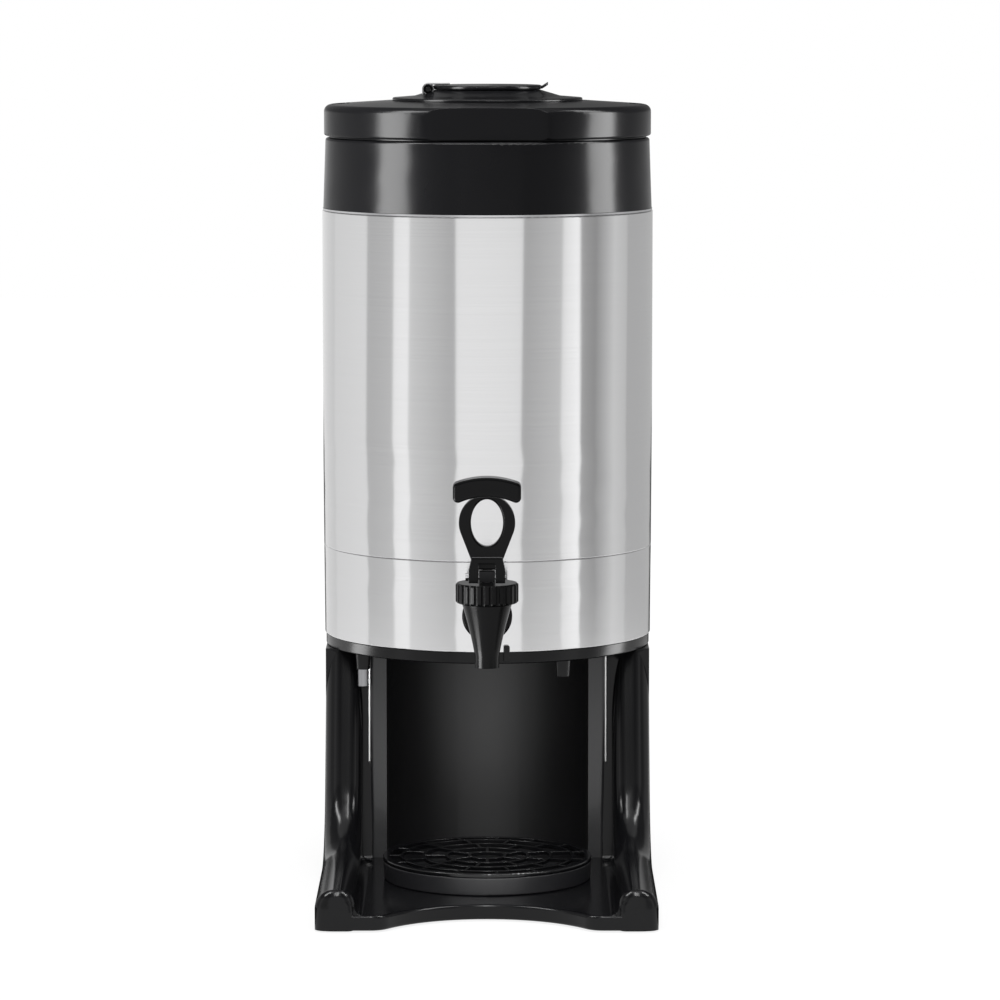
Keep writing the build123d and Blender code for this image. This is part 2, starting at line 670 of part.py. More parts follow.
def outer_shell():
    """Upper steel wall, hemmed in at the top to carry the liner's lip."""
    taper_z = SEAM_Z + TAPER_H
    return turned([
        (SEAM_R - SHELL_WALL, SEAM_Z),
        (SEAM_R, SEAM_Z),
        (BODY_R, taper_z),
        (BODY_R, SHELL_Z),
        (SHELL_HEM_R, SHELL_Z),
        (SHELL_HEM_R, SHELL_Z - SHELL_WALL),
        (BODY_R - SHELL_WALL, SHELL_Z - SHELL_WALL),
        (BODY_R - SHELL_WALL, taper_z),
    ], [(1, SEAM_ROLL_R), (3, SHELL_ROLL_R)])


def inner_liner():
    """Steel vessel that holds the coffee, hung by its lip."""
    outer = LINER_R + LINER_WALL
    lip_r = BODY_R - LINER_LIP_SET
    liner = turned([
        (0, LINER_Z),
        (outer, LINER_Z),
        (outer, SHELL_Z),
        (lip_r, SHELL_Z),
        (lip_r, COLLAR_Z),
        (LINER_R, COLLAR_Z),
        (LINER_R, LINER_Z + LINER_WALL),
        (0, LINER_Z + LINER_WALL),
    ], [(1, LINER_CORNER_R + LINER_WALL), (6, LINER_CORNER_R)])
    return liner - shank_hole(LINER_R - OVERRUN, LINER_R + OVERRUN)


def neck_collar():
    """Black collar: a tapered outer wall, a top face and a neck for the lid's plug."""
    neck_out = NECK_R + COLLAR_WALL
    neck_z = COLLAR_Z + NECK_SEAL_H
    roof_z = COLLAR_TOP_Z - COLLAR_WALL
    return turned([
        (COLLAR_R, COLLAR_Z),
        (COLLAR_TOP_R, COLLAR_TOP_Z),
        (NECK_R, COLLAR_TOP_Z),
        (NECK_R, neck_z),
        (neck_out, neck_z),
        (neck_out, roof_z),
        (COLLAR_TOP_R - COLLAR_WALL, roof_z),
        (COLLAR_R - COLLAR_WALL, COLLAR_Z),
    ], [(1, COLLAR_EDGE_R), (2, COLLAR_EDGE_R)])


def neck_seal():
    return turned([
        (NECK_R, COLLAR_Z),
        (NECK_R + COLLAR_WALL, COLLAR_Z),
        (NECK_R + COLLAR_WALL, COLLAR_Z + NECK_SEAL_H),
        (NECK_R, COLLAR_Z + NECK_SEAL_H),
    ])


def grip_pocket(grow):
    """Finger recess in the right-hand side of the lid's rim, grown by a wall where asked."""
    pocket = SlotCenterToCenter(GRIP_W - GRIP_LENGTH, GRIP_LENGTH + 2 * grow)
    top = CROWN_Z + OVERRUN
    floor = LID_EDGE_Z - GRIP_DEPTH - grow
    return extrude(Pos(GRIP_R, 0, floor) * Rot(0, 0, 90) * pocket, top - floor)


def lid_cap():
    """Outer shell of the lid: domed, with a flat front and a finger recess at each side."""
    def before(fwd):
        return block(-LID_R, LID_R, -LID_R, fwd, LID_Z - OVERRUN, CROWN_Z + OVERRUN)

    outside = turned([
        (LID_HOLE_R, LID_Z),
        (LID_R, LID_Z),
        (LID_R, LID_EDGE_Z),
        (TIER_R, CROWN_Z),
        (LID_HOLE_R, CROWN_Z),
    ], [(1, LID_FOOT_EDGE_R), (2, LID_TOP_EDGE_R)])
    inside = turned([
        (LID_HOLE_R - LID_WALL, LID_Z - OVERRUN),
        (LID_R - LID_WALL, LID_Z - OVERRUN),
        (LID_R - LID_WALL, LID_EDGE_Z - LID_WALL),
        (TIER_R, CROWN_Z - LID_WALL),
        (LID_HOLE_R - LID_WALL, CROWN_Z - LID_WALL),
    ], [(2, LID_TOP_EDGE_R - LID_WALL)])
    inside = (inside & before(FACET_FWD - LID_WALL)) - both_sides(grip_pocket(LID_WALL))
    return (outside & before(FACET_FWD)) - inside - both_sides(grip_pocket(0))


def lid_plug():
    """Hollow plug under the lid, with a flange that rests over the collar and a groove for its seal."""
    flange_r = LID_R - LID_WALL - FIT_GAP
    hole_r = TIP_R + TIP_WALL + FIT_GAP
    groove_z = PLUG_Z + SEAL_LIFT
    plug = turned([
        (hole_r, PLUG_Z),
        (PLUG_R, PLUG_Z),
        (PLUG_R, groove_z),
        (PLUG_R - SEAL_GROOVE, groove_z),
        (PLUG_R - SEAL_GROOVE, groove_z + SEAL_H),
        (PLUG_R, groove_z + SEAL_H),
        (PLUG_R, PLUG_TOP_Z),
        (flange_r, PLUG_TOP_Z),
        (flange_r, PLUG_TOP_Z + PLUG_WALL),
        (PLUG_R - PLUG_WALL, PLUG_TOP_Z + PLUG_WALL),
        (PLUG_R - PLUG_WALL, PLUG_Z + PLUG_WALL),
        (hole_r, PLUG_Z + PLUG_WALL),
    ])
    front = FACET_FWD - LID_WALL - FIT_GAP
    return plug & block(-LID_R, LID_R, -LID_R, front, PLUG_Z - OVERRUN, LID_EDGE_Z)


def lid_seal():
    z0 = PLUG_Z + SEAL_LIFT
    return turned([
        (PLUG_R - SEAL_GROOVE, z0),
        (NECK_R - SEAT_GAP, z0 + SEAL_H / 4),
        (NECK_R - SEAT_GAP, z0 + SEAL_H * 3 / 4),
        (PLUG_R - SEAL_GROOVE, z0 + SEAL_H),
    ])


def fill_funnel():
    """Raised tier and coned boss on the lid, the throat below it and the ears of the flap's hinge."""
    throat_z = CROWN_Z - THROAT_DEPTH
    tip_z = PLUG_Z + FUNNEL_WALL
    tip_out = TIP_R + TIP_WALL
    neck_r = THROAT_R + FUNNEL_WALL
    funnel = turned([
        (THROAT_R, BOSS_Z),
        (THROAT_R, throat_z),
        (TIP_R, tip_z),
        (TIP_R, PLUG_Z - FUNNEL_TIP),
        (tip_out, PLUG_Z - FUNNEL_TIP),
        (tip_out, tip_z),
        (neck_r, throat_z),
        (neck_r, CROWN_Z),
        (TIER_R, CROWN_Z),
        (TIER_R, TIER_Z),
        (BOSS_BASE_R, TIER_Z + TIER_RISE),
        (BOSS_RIM_R, BOSS_Z),
    ], [(9, TIER_T / 2), (11, FLAP_EDGE_R)])
    ear_in = KNUCKLE_W / 2 + SEAT_GAP
    ear = forward(KNUCKLE_R, ear_in, ear_in + EAR_W, HINGE_Z, -HINGE_OUT)
    ear += block(-HINGE_OUT - KNUCKLE_R, KNUCKLE_R - HINGE_OUT, ear_in, ear_in + EAR_W, TIER_Z, HINGE_Z)
    room = forward(KNUCKLE_R + 2 * SEAT_GAP, -ear_in, ear_in, HINGE_Z, -HINGE_OUT)
    coil_room = forward(COIL_R + WIRE_R + SEAT_GAP, EAR_OUT, COIL_END + SEAT_GAP, HINGE_Z, -HINGE_OUT)
    funnel = funnel - room - coil_room + ear + mirror(ear, Plane.XZ)
    return funnel - forward(HINGE_PIN_R + RUN_GAP, -ear_in - OVERRUN, ear_in + OVERRUN, HINGE_Z, -HINGE_OUT)


def mixing_tube():
    """Tube that leads the coffee from the funnel to the bottom of the vessel, slotted at its foot."""
    bore = TIP_R + TIP_WALL + RUN_GAP
    outer = bore + TUBE_WALL
    foot = LINER_Z + LINER_WALL + TUBE_FOOT_GAP
    tube = upright(outer, foot, PLUG_Z) - upright(bore, foot - OVERRUN, PLUG_Z + OVERRUN)
    slot = block(-TUBE_SLOT_W / 2, TUBE_SLOT_W / 2, -2 * outer, 2 * outer, foot - OVERRUN, foot + TUBE_SLOT_H)
    return tube - slot - Rot(0, 0, 90) * slot


def fill_flap():
    """Round flap over the throat, with a hinge knuckle at the left and an upturned tab at the right."""
    disc = upright(FLAP_R, FLAP_Z, FLAP_Z + FLAP_T)
    disc = fillet(disc.edges(), FLAP_EDGE_R)
    tab_z = FLAP_Z + (FLAP_T - TAB_T) / 2
    tab_bend = TAB_REACH - TAB_ROOT / 2
    tab = profile([
        (FLAP_R - TAB_ROOT, tab_z),
        (tab_bend, tab_z),
        (TAB_REACH, tab_z + TAB_RISE),
        (TAB_REACH, tab_z + TAB_RISE + TAB_T),
        (tab_bend, tab_z + TAB_T),
        (FLAP_R - TAB_ROOT, tab_z + TAB_T),
    ])
    tab = Pos(0, TAB_W / 2) * extrude(Plane.XZ * tab, TAB_W, dir=(0, -1, 0))
    tab = fillet(tab.edges().filter_by(Axis.Z).sort_by(Axis.X)[-2:], TAB_CORNER_R)
    knuckle = forward(KNUCKLE_R, -KNUCKLE_W / 2, KNUCKLE_W / 2, HINGE_Z, -HINGE_OUT)
    arm = block(-HINGE_OUT, TAB_ROOT - FLAP_R, -KNUCKLE_W / 2, KNUCKLE_W / 2,
                FLAP_Z + FLAP_EDGE_R / 2, FLAP_Z + FLAP_T - FLAP_EDGE_R / 2)
    bore = forward(HINGE_PIN_R + RUN_GAP, -KNUCKLE_W, KNUCKLE_W, HINGE_Z, -HINGE_OUT)
    return disc + tab + arm + knuckle - bore


def hinge_pin():
    return forward(HINGE_PIN_R, -EAR_OUT - HINGE_PIN_TAIL, COIL_END + HINGE_PIN_TAIL, HINGE_Z, -HINGE_OUT)


def flap_spring():
    """Torsion spring on the hinge pin: one arm over the flap, the other down against the boss."""
    def place(angle, radius, climb, rate):
        point = (-HINGE_OUT - radius * sin(angle), -COIL_FWD - climb, HINGE_Z + radius * cos(angle))
        heading = Vector(-radius * cos(angle), -rate, -radius * sin(angle)).normalized()
        return point, heading

    coil = coil_points(COIL_R, COIL_PITCH, COIL_TURNS + 1 / 4, place)
    first, last = coil[0], coil[-1]
    arm_end = tuple(Vector(*first[0]) - first[1] * ARM_REACH)
    boss_slope = BOSS_H / (BOSS_BASE_R - BOSS_RIM_R)
    boss_fall = (hypot(last[0][0], last[0][1]) - BOSS_RIM_R) * boss_slope
    drop = HINGE_Z - BOSS_Z + boss_fall - 2 * SEAT_GAP
    foot_end = tuple(Vector(*last[0]) + last[1] * drop)
    points = [arm_end] + [point for point, heading in coil] + [foot_end]
    headings = [first[1]] + [heading for point, heading in coil] + [last[1]]
    print("flap spring, least gap", round(least_gap(points[1:-1], WIRE_R, 3), 2))
    return wire_tube(round_path(points, headings), WIRE_R)


def faucet_body():
    """Coned spout with its valve chamber, threaded neck and the shank that runs into the vessel."""
    middle = ((SPOUT_R + CONE_R) / 2 - CONE_HOLLOW, (CONE_Z + CONE_TOP_Z) / 2)
    slope = (CONE_R - SPOUT_R) / CONE_H
    chamber_r = SPOUT_R + (SEAT_Z - CONE_Z) * slope - CONE_WALL
    chamber_top_r = CONE_R - CONE_WALL
    neck_bore_r = NECK_THREAD_R - CONE_WALL
    outside = [
        Line((OUTLET_R, SPOUT_Z), (SPOUT_R, SPOUT_Z)),
        Line((SPOUT_R, SPOUT_Z), (SPOUT_R, CONE_Z)),
        ThreePointArc((SPOUT_R, CONE_Z), middle, (CONE_R, CONE_TOP_Z)),
        Line((CONE_R, CONE_TOP_Z), (NECK_THREAD_R, CONE_TOP_Z)),
        Line((NECK_THREAD_R, CONE_TOP_Z), (NECK_THREAD_R, NECK_TOP_Z)),
        Line((NECK_THREAD_R, NECK_TOP_Z), (neck_bore_r, NECK_TOP_Z)),
    ]
    inside = Polyline(
        (neck_bore_r, NECK_TOP_Z),
        (neck_bore_r, CONE_TOP_Z),
        (chamber_r, SEAT_Z),
        (OUTLET_R, SEAT_Z),
        (OUTLET_R, SPOUT_Z),
    )
    body = revolve(Plane.XZ * make_face(outside + inside.edges()), Axis.Z)
    inside_solid = turned([
        (0, SEAT_Z),
        (chamber_r, SEAT_Z),
        (chamber_top_r, CONE_TOP_Z),
        (0, CONE_TOP_Z),
    ])
    place = Pos(0, -FAUCET_FWD)
    shank = forward(SHANK_R, LINER_R - SHANK_INSIDE, FAUCET_FWD, SHANK_Z)
    bore = forward(SHANK_BORE_R, LINER_R - SHANK_INSIDE - OVERRUN, FAUCET_FWD, SHANK_Z)
    return place * body + (shank - place * inside_solid) - bore


def faucet_flange():
    """Round shoulder between the faucet and its washer."""
    back = BODY_R + WASHER_T
    flange = forward(FLANGE_R, back, back + FLANGE_T, SHANK_Z)
    flange = chamfer(flange.faces().sort_by(Axis.Y)[0].edges(), FLANGE_EDGE)
    return flange - forward(SHANK_R + RUN_GAP, LINER_R, FAUCET_FWD, SHANK_Z)


def outer_washer():
    """Washer whose back is hollowed to seat on the round steel wall."""
    washer = forward(WASHER_R, LINER_R, BODY_R + WASHER_T, SHANK_Z)
    wall = upright(SEAM_R, BAND_Z, SEAM_Z)
    return washer - wall - forward(SHANK_R + RUN_GAP, LINER_R - OVERRUN, FAUCET_FWD, SHANK_Z)


NUT_FWD = LINER_R - INNER_WASHER_T


def inner_washer():
    """Washer that seals the shank on the liner's inner wall."""
    washer = forward(INNER_WASHER_R, NUT_FWD, LINER_R, SHANK_Z) & upright(LINER_R, LINER_Z, SHELL_Z)
    return washer - forward(SHANK_R + RUN_GAP, 0, LINER_R + OVERRUN, SHANK_Z)


def shank_nut():
    side = Plane(origin=(0, -NUT_FWD, SHANK_Z), x_dir=(1, 0, 0), z_dir=(0, 1, 0))
    nut = extrude(side * RegularPolygon(NUT_ACROSS / 2, 6, major_radius=False), NUT_T)
    return nut - forward(SHANK_R + RUN_GAP, 0, LINER_R, SHANK_Z)


def bonnet():
    """Ribbed cap nut that closes the faucet and guides the stem."""
    inner = NECK_THREAD_R + RUN_GAP
    cap = turned([
        (STEM_R + RUN_GAP, NECK_TOP_Z),
        (inner, NECK_TOP_Z),
        (inner, BONNET_Z),
        (BONNET_R - BONNET_EDGE, BONNET_Z),
        (BONNET_R, BONNET_Z + BONNET_EDGE),
        (BONNET_R, BONNET_TOP_Z - BONNET_EDGE),
        (BONNET_R - BONNET_EDGE, BONNET_TOP_Z),
        (STEM_R + RUN_GAP, BONNET_TOP_Z),
    ])
    groove = upright(BONNET_GROOVE_R, BONNET_Z - OVERRUN, BONNET_TOP_Z + OVERRUN, BONNET_R)
    grooves = [Rot(0, 0, 360 / BONNET_RIBS * k) * groove for k in range(BONNET_RIBS)]
    return Pos(0, -FAUCET_FWD) * (cap - grooves)


def lift_stem():
    """Round stem with a flat tongue on top for the lever's pin."""
    foot = CUP_Z + CUP_H - CUP_BITE
    tongue_z = BONNET_TOP_Z + SEAT_GAP
    tongue = block(-TONGUE_HALF, TONGUE_HALF, FAUCET_FWD - TONGUE_T / 2, FAUCET_FWD + TONGUE_T / 2,
                   tongue_z, tongue_z + TONGUE_H)
    tongue = fillet(tongue.faces().sort_by(Axis.Z)[-1].edges().filter_by(Axis.X), TONGUE_T / 3)
    stem = upright(STEM_R, foot, tongue_z, 0, -FAUCET_FWD) + tongue
    return stem - across(PIVOT_PIN_R + RUN_GAP, -FORK_HALF, FORK_HALF, -FAUCET_FWD, PIVOT_Z)


def seat_cup():
    """Soft cup on the stem's foot that closes the outlet."""
    cup = turned([
        (0, CUP_Z),
        (CUP_R, CUP_Z),
        (CUP_R, CUP_Z + CUP_H),
        (STEM_R + RUN_GAP, CUP_Z + CUP_H),
        (STEM_R + RUN_GAP, CUP_Z + CUP_H - CUP_BITE),
        (0, CUP_Z + CUP_H - CUP_BITE),
    ], [(2, CUP_EDGE_R), (1, CUP_EDGE_R)])
    return Pos(0, -FAUCET_FWD) * cup


def stem_spring():
    """Coil round the stem, between the cup and the bonnet's ceiling."""
    foot = CUP_Z + CUP_H + WIRE_R + STEM_COIL_GAP
    height = NECK_TOP_Z - WIRE_R - STEM_COIL_GAP - foot

    def place(angle, radius, climb, rate):
        point = (radius * cos(angle), radius * sin(angle) - FAUCET_FWD, foot + climb)
        return point, Vector(-radius * sin(angle), radius * cos(angle), rate).normalized()

    coil = coil_points(STEM_COIL_R, height / STEM_COIL_TURNS, STEM_COIL_TURNS, place)
    points = [point for point, heading in coil]
    print("stem spring, least gap", round(least_gap(points, WIRE_R, 3), 2))
    return wire_tube(round_path(points, [heading for point, heading in coil]), WIRE_R)


def lever():
    """Pull lever: forked foot with a cam heel, finger ring and an arched bar on top."""
    heel_z = BONNET_TOP_Z + SEAT_GAP
    fork_top = heel_z + FORK_H
    eye_z = BONNET_TOP_Z + EYE_RISE
    fork = Plane.XZ * profile([
        (-FORK_HALF, heel_z),
        (FORK_HALF, heel_z),
        (FORK_HALF, heel_z + FORK_H / 2),
        (FORK_NECK_HALF, fork_top),
        (-FORK_NECK_HALF, fork_top),
        (-FORK_HALF, heel_z + FORK_H / 2),
    ])
    fork = Pos(0, FORK_DEPTH / 2) * extrude(fork, FORK_DEPTH, dir=(0, -1, 0))
    fork = fillet(fork.edges().filter_by(Axis.X).sort_by(Axis.Z)[-2:], FORK_EDGE_R)
    slot = block(-FORK_SLOT_HALF, FORK_SLOT_HALF, -FORK_DEPTH, FORK_DEPTH, heel_z - OVERRUN, heel_z + FORK_SLOT_H)
    neck = Pos(0, fork_top - FORK_EDGE_R) * Rectangle(2 * FORK_NECK_HALF, 2 * FORK_EDGE_R)
    rim = make_hull((Pos(0, eye_z) * Circle(EYE_RIM_R)).edges() + neck.edges())
    plate = extrude(Plane.XZ * rim, LEVER_T / 2, both=True)
    eye = extrude(Plane.XZ * Pos(0, eye_z) * Ellipse(EYE_HALF_W, EYE_HALF_H), LEVER_T, both=True)
    bar_top = BONNET_TOP_Z + BAR_TOP_RISE
    arch = Pos(0, bar_top - BAR_ARCH_R) * (Circle(BAR_ARCH_R) - Circle(BAR_ARCH_R - BAR_H))
    arch = arch & (Pos(0, bar_top) * Rectangle(2 * BAR_HALF, 2 * BAR_ARCH_R))
    arch = fillet(arch.vertices(), BAR_END_R)
    bar = Pos(0, BAR_DEPTH / 2 - BAR_FORWARD) * extrude(Plane.XZ * arch, BAR_DEPTH, dir=(0, -1, 0))
    bar = fillet(bar.faces().filter_by(Axis.Y).edges(), BAR_EDGE_R)
    wide = Pos(0, eye_z) * Ellipse(EYE_HALF_W + EYE_BEVEL, EYE_HALF_H + EYE_BEVEL)
    narrow = Pos(0, eye_z) * Ellipse(EYE_HALF_W, EYE_HALF_H)
    bevel = loft([Plane.XZ.offset(LEVER_T / 2) * wide, Plane.XZ.offset(LEVER_T / 2 - EYE_BEVEL) * narrow])
    plate = plate - eye - bevel - mirror(bevel, Plane.XZ)
    whole = Pos(0, -FAUCET_FWD) * (fork - slot + plate + bar)
    return whole - across(PIVOT_PIN_R + RUN_GAP, -2 * FORK_HALF, 2 * FORK_HALF, -FAUCET_FWD, PIVOT_Z)


def lever_pin():
    """Pin through the fork and the stem's tongue, with a head at the left."""
    head_x = -FORK_HALF - SEAT_GAP
    pin = across(PIVOT_PIN_R, head_x, FORK_HALF + SEAT_GAP, -FAUCET_FWD, PIVOT_Z)
    return pin + across(PIVOT_HEAD_R, head_x - PIVOT_HEAD_T, head_x, -FAUCET_FWD, PIVOT_Z)


save("stand_moulding", stand_moulding())
save("foot_front_left", rubber_foot(*pad_places()[0]))
save("foot_front_right", rubber_foot(*pad_places()[1]))
save("foot_rear_left", rubber_foot(*pad_places()[2]))
save("foot_rear_right", rubber_foot(*pad_places()[3]))
save("alcove_panel", alcove_panel())
save("support_ring", support_ring())
save("vessel_screw_right", vessel_screw(*boss_places((2,))[0]))
save("vessel_screw_rear", vessel_screw(*boss_places((3,))[0]))
save("drip_tray", drip_tray())
save("drip_grille", drip_grille())
save("bottom_cover", bottom_cover())
save("locking_stud", locking_stud())
save("lower_band", lower_band())
save("outer_shell", outer_shell())
save("inner_liner", inner_liner())
save("neck_collar", neck_collar())
save("neck_seal", neck_seal())
save("lid_cap", lid_cap())
save("lid_plug", lid_plug())
save("lid_seal", lid_seal())
save("fill_funnel", fill_funnel())
save("mixing_tube", mixing_tube())
save("fill_flap", fill_flap())
save("hinge_pin", hinge_pin())
save("flap_spring", flap_spring())
save("faucet_body", faucet_body())
save("faucet_flange", faucet_flange())
save("outer_washer", outer_washer())
save("inner_washer", inner_washer())
save("shank_nut", shank_nut())
save("bonnet", bonnet())
save("lift_stem", lift_stem())
save("seat_cup", seat_cup())
save("stem_spring", stem_spring())
save("lever", lever())
save("lever_pin", lever_pin())
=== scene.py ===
# %% [markdown]
# # An insulated coffee dispenser
# A steel vessel with a black lid stands on a black moulded stand. Coffee is poured in through a
# sprung flap in the lid and drawn off with the pull lever at the front. This lesson dresses a
# finished solid model: every solid keeps its place, and gets a smooth skin, a finish and light.

# %% Load the solid model
import json
from math import cos, pi, radians, sin

import bmesh
import bpy
import numpy as np
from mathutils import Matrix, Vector


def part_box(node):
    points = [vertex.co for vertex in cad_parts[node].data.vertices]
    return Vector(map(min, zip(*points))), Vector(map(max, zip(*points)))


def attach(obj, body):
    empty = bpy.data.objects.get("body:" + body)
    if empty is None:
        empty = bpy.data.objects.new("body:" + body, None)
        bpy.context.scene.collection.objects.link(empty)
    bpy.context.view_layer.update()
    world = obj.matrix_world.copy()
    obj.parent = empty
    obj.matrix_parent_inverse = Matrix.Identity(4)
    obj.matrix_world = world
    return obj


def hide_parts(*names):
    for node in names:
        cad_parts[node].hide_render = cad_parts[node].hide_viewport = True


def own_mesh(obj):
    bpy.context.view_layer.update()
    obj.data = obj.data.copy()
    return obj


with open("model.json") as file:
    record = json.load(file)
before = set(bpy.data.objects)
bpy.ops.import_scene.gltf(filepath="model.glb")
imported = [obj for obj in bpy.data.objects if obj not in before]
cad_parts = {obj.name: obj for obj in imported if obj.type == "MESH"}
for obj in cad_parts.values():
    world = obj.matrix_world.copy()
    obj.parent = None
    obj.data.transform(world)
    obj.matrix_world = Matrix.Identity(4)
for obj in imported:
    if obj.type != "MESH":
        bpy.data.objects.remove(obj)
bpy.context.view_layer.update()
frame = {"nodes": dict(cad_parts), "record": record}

MM = 0.001
SCENE = bpy.context.scene
NODES = frame["nodes"]
RECORD = frame["record"]
BODY_OF = {node: body for body, nodes in RECORD["behaviour"]["bodies"].items() for node in nodes}
SLOT_OF = {part["node"]: part["material_slot"] for part in RECORD["subparts"]}


# %% [markdown]
# ## Where things are
# All places come from the solids, so that a changed size moves the finish with it. The vessel's
# axis is read from the box of its shell, and the stand's edges from its own box.

# %% Read the main places from the solids
SHELL_LOW, SHELL_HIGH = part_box("outer_shell")
STAND_LOW, STAND_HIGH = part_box("stand_moulding")
AXIS_X = (SHELL_LOW[0] + SHELL_HIGH[0]) / 2
AXIS_Y = (SHELL_LOW[1] + SHELL_HIGH[1]) / 2
print("vessel axis:", round(AXIS_X, 4), round(AXIS_Y, 4))

# %% [markdown]
# ## The camera
# The photograph was taken with a long lens from a little above the lid, looking slightly down.
# A long lens keeps the sides of the vessel parallel. The camera stands on the dispenser's middle
# plane, a few millimetres to the right.

# %% Set up the camera
CAMERA_AWAY = 3.276
CAMERA_RIGHT = 0.0087
CAMERA_HEIGHT = 0.617
CAMERA_TILT = radians(83.71)
LENS = 169.2
SENSOR = 36.0


def new_object(name, data):
    """An object that shows the data, linked into the scene."""
    item = bpy.data.objects.new(name, data)
    SCENE.collection.objects.link(item)
    return item


camera_data = bpy.data.cameras.new("product_camera")
camera_data.lens = LENS
camera_data.sensor_width = SENSOR
camera = new_object("product_camera", camera_data)
camera.location = (AXIS_X + CAMERA_RIGHT, AXIS_Y - CAMERA_AWAY, CAMERA_HEIGHT)
camera.rotation_euler = (CAMERA_TILT, 0, 0)
SCENE.camera = camera
print("camera:", tuple(round(v, 3) for v in camera.location))

# %% [markdown]
# ## Floor and white surroundings
# The background is plain white. The world shows white to the camera and to reflections, and gives
# diffuse light a lower level. The floor is a pale sheet that still takes the soft shadow.

# %% Make the world and the floor
SCENE.view_settings.view_transform = "Standard"
WHITE = (1, 1, 1, 1)
SKY_WHITE = 1.0         # what the camera and reflections see
SKY_LEVEL = 0.62        # what diffuse light gets
FLOOR_REACH = 6.0
FLOOR_COLOR = (0.95, 0.95, 0.95, 1)
FLOOR_GLOW = 0.7        # share of the floor's look that is plain white
FLOOR_WHITE = 1.2


def node_adder(tree):
    """A function that adds a node to the tree, and sets its options and its sockets' values."""

    def add(kind, **values):
        node = tree.nodes.new(kind)
        for name, value in values.items():
            if hasattr(node, name):
                setattr(node, name, value)
            else:
                node.inputs[name.replace("_", " ")].default_value = value
        return node

    return add


def new_tree(owner):
    """An empty node tree of a material or a world, and the function that adds nodes to it."""
    owner.use_nodes = True
    tree = owner.node_tree
    tree.nodes.clear()
    return tree, node_adder(tree)


def seen_ray(tree, add):
    """1 for a ray from the camera, a mirror or glass, and 0 for diffuse light."""
    path = add("ShaderNodeLightPath")
    first = add("ShaderNodeMath", operation="MAXIMUM")
    both = add("ShaderNodeMath", operation="MAXIMUM")
    tree.links.new(path.outputs["Is Camera Ray"], first.inputs[0])
    tree.links.new(path.outputs["Is Glossy Ray"], first.inputs[1])
    tree.links.new(first.outputs[0], both.inputs[0])
    tree.links.new(path.outputs["Is Transmission Ray"], both.inputs[1])
    return both.outputs[0]


def mixed(tree, add, factor, first, second):
    """Two shaders mixed by a factor: 0 shows the first and 1 the second."""
    pick = add("ShaderNodeMixShader")
    tree.links.new(factor, pick.inputs[0])
    tree.links.new(first.outputs[0], pick.inputs[1])
    tree.links.new(second.outputs[0], pick.inputs[2])
    return pick


def show(tree, add, shader, kind="ShaderNodeOutputMaterial"):
    """Links a shader to a new output node."""
    tree.links.new(shader.outputs[0], add(kind).inputs[0])


def sheet(name, corners, paint):
    """A flat sheet between four corners."""
    mesh = bpy.data.meshes.new(name)
    mesh.from_pydata(corners, [], [(0, 1, 2, 3)])
    mesh.materials.append(paint)
    return new_object(name, mesh)


world = bpy.data.worlds.new("white_studio")
SCENE.world = world
tree, add = new_tree(world)
soft = add("ShaderNodeBackground", Color=WHITE, Strength=SKY_LEVEL)
white = add("ShaderNodeBackground", Color=WHITE, Strength=SKY_WHITE)
show(tree, add, mixed(tree, add, seen_ray(tree, add), soft, white), "ShaderNodeOutputWorld")

floor_paint = bpy.data.materials.new("pale_floor")
tree, add = new_tree(floor_paint)
matt = add("ShaderNodeBsdfDiffuse", Color=FLOOR_COLOR)
glow = add("ShaderNodeEmission", Strength=FLOOR_WHITE)
share = add("ShaderNodeMath", operation="MULTIPLY")
share.inputs[1].default_value = FLOOR_GLOW
tree.links.new(seen_ray(tree, add), share.inputs[0])
show(tree, add, mixed(tree, add, share.outputs[0], matt, glow))

corners = np.array([(-1, -1, 0), (1, -1, 0), (1, 1, 0), (-1, 1, 0)]) * FLOOR_REACH
floor = sheet("pale_floor", corners.tolist(), floor_paint)
print("floor reaches", FLOOR_REACH, "m each way")

# %% [markdown]
# ## Studio panels
# Brushed steel is a mirror in one direction, so its look is the look of what stands round it. A
# round vessel seen from the front turns a panel at an angle into an upright band at half that
# angle. Bright and grey panels round the dispenser make the bands. Above the lid they fade to a
# dark ceiling, and low at the back they are nearly black, which keeps the black plastic deep. Only
# reflections see them.

# %% Stand the panels round the dispenser
PANEL_AWAY = 1.0
PANEL_HEIGHTS = (0.0, 0.18, 0.24, 0.48, 0.62, 2.2)
PANEL_FADES = (1.0, 1.0, 1.0, 1.0, 0.30, 0.20)      # share of the level left at each height
BACK_FADES = (0.06, 0.06, 1.0, 1.0, 0.30, 0.20)     # the same at the back
BACK_FROM = 158                                     # degrees from the camera where that starts
PANELS = [
    # from and to, in degrees right of the camera, and the level at each
    (-180, -128, 0.92, 0.72),
    (-128, -88, 0.80, 0.90),
    (-88, -65, 0.56, 0.64),
    (-65, -53, 1.05, 1.12),
    (-53, -20.6, 0.78, 0.54),
    (-20.6, 22.8, 1.02, 0.96),
    (22.8, 50, 0.50, 0.68),
    (50, 64, 0.95, 1.25),
    (64, 77, 0.46, 0.35),
    (77, 94, 0.38, 0.74),
    (94, 108, 0.74, 0.64),
    (108, 180, 0.52, 0.50),
]
PANEL_STEPS = 12


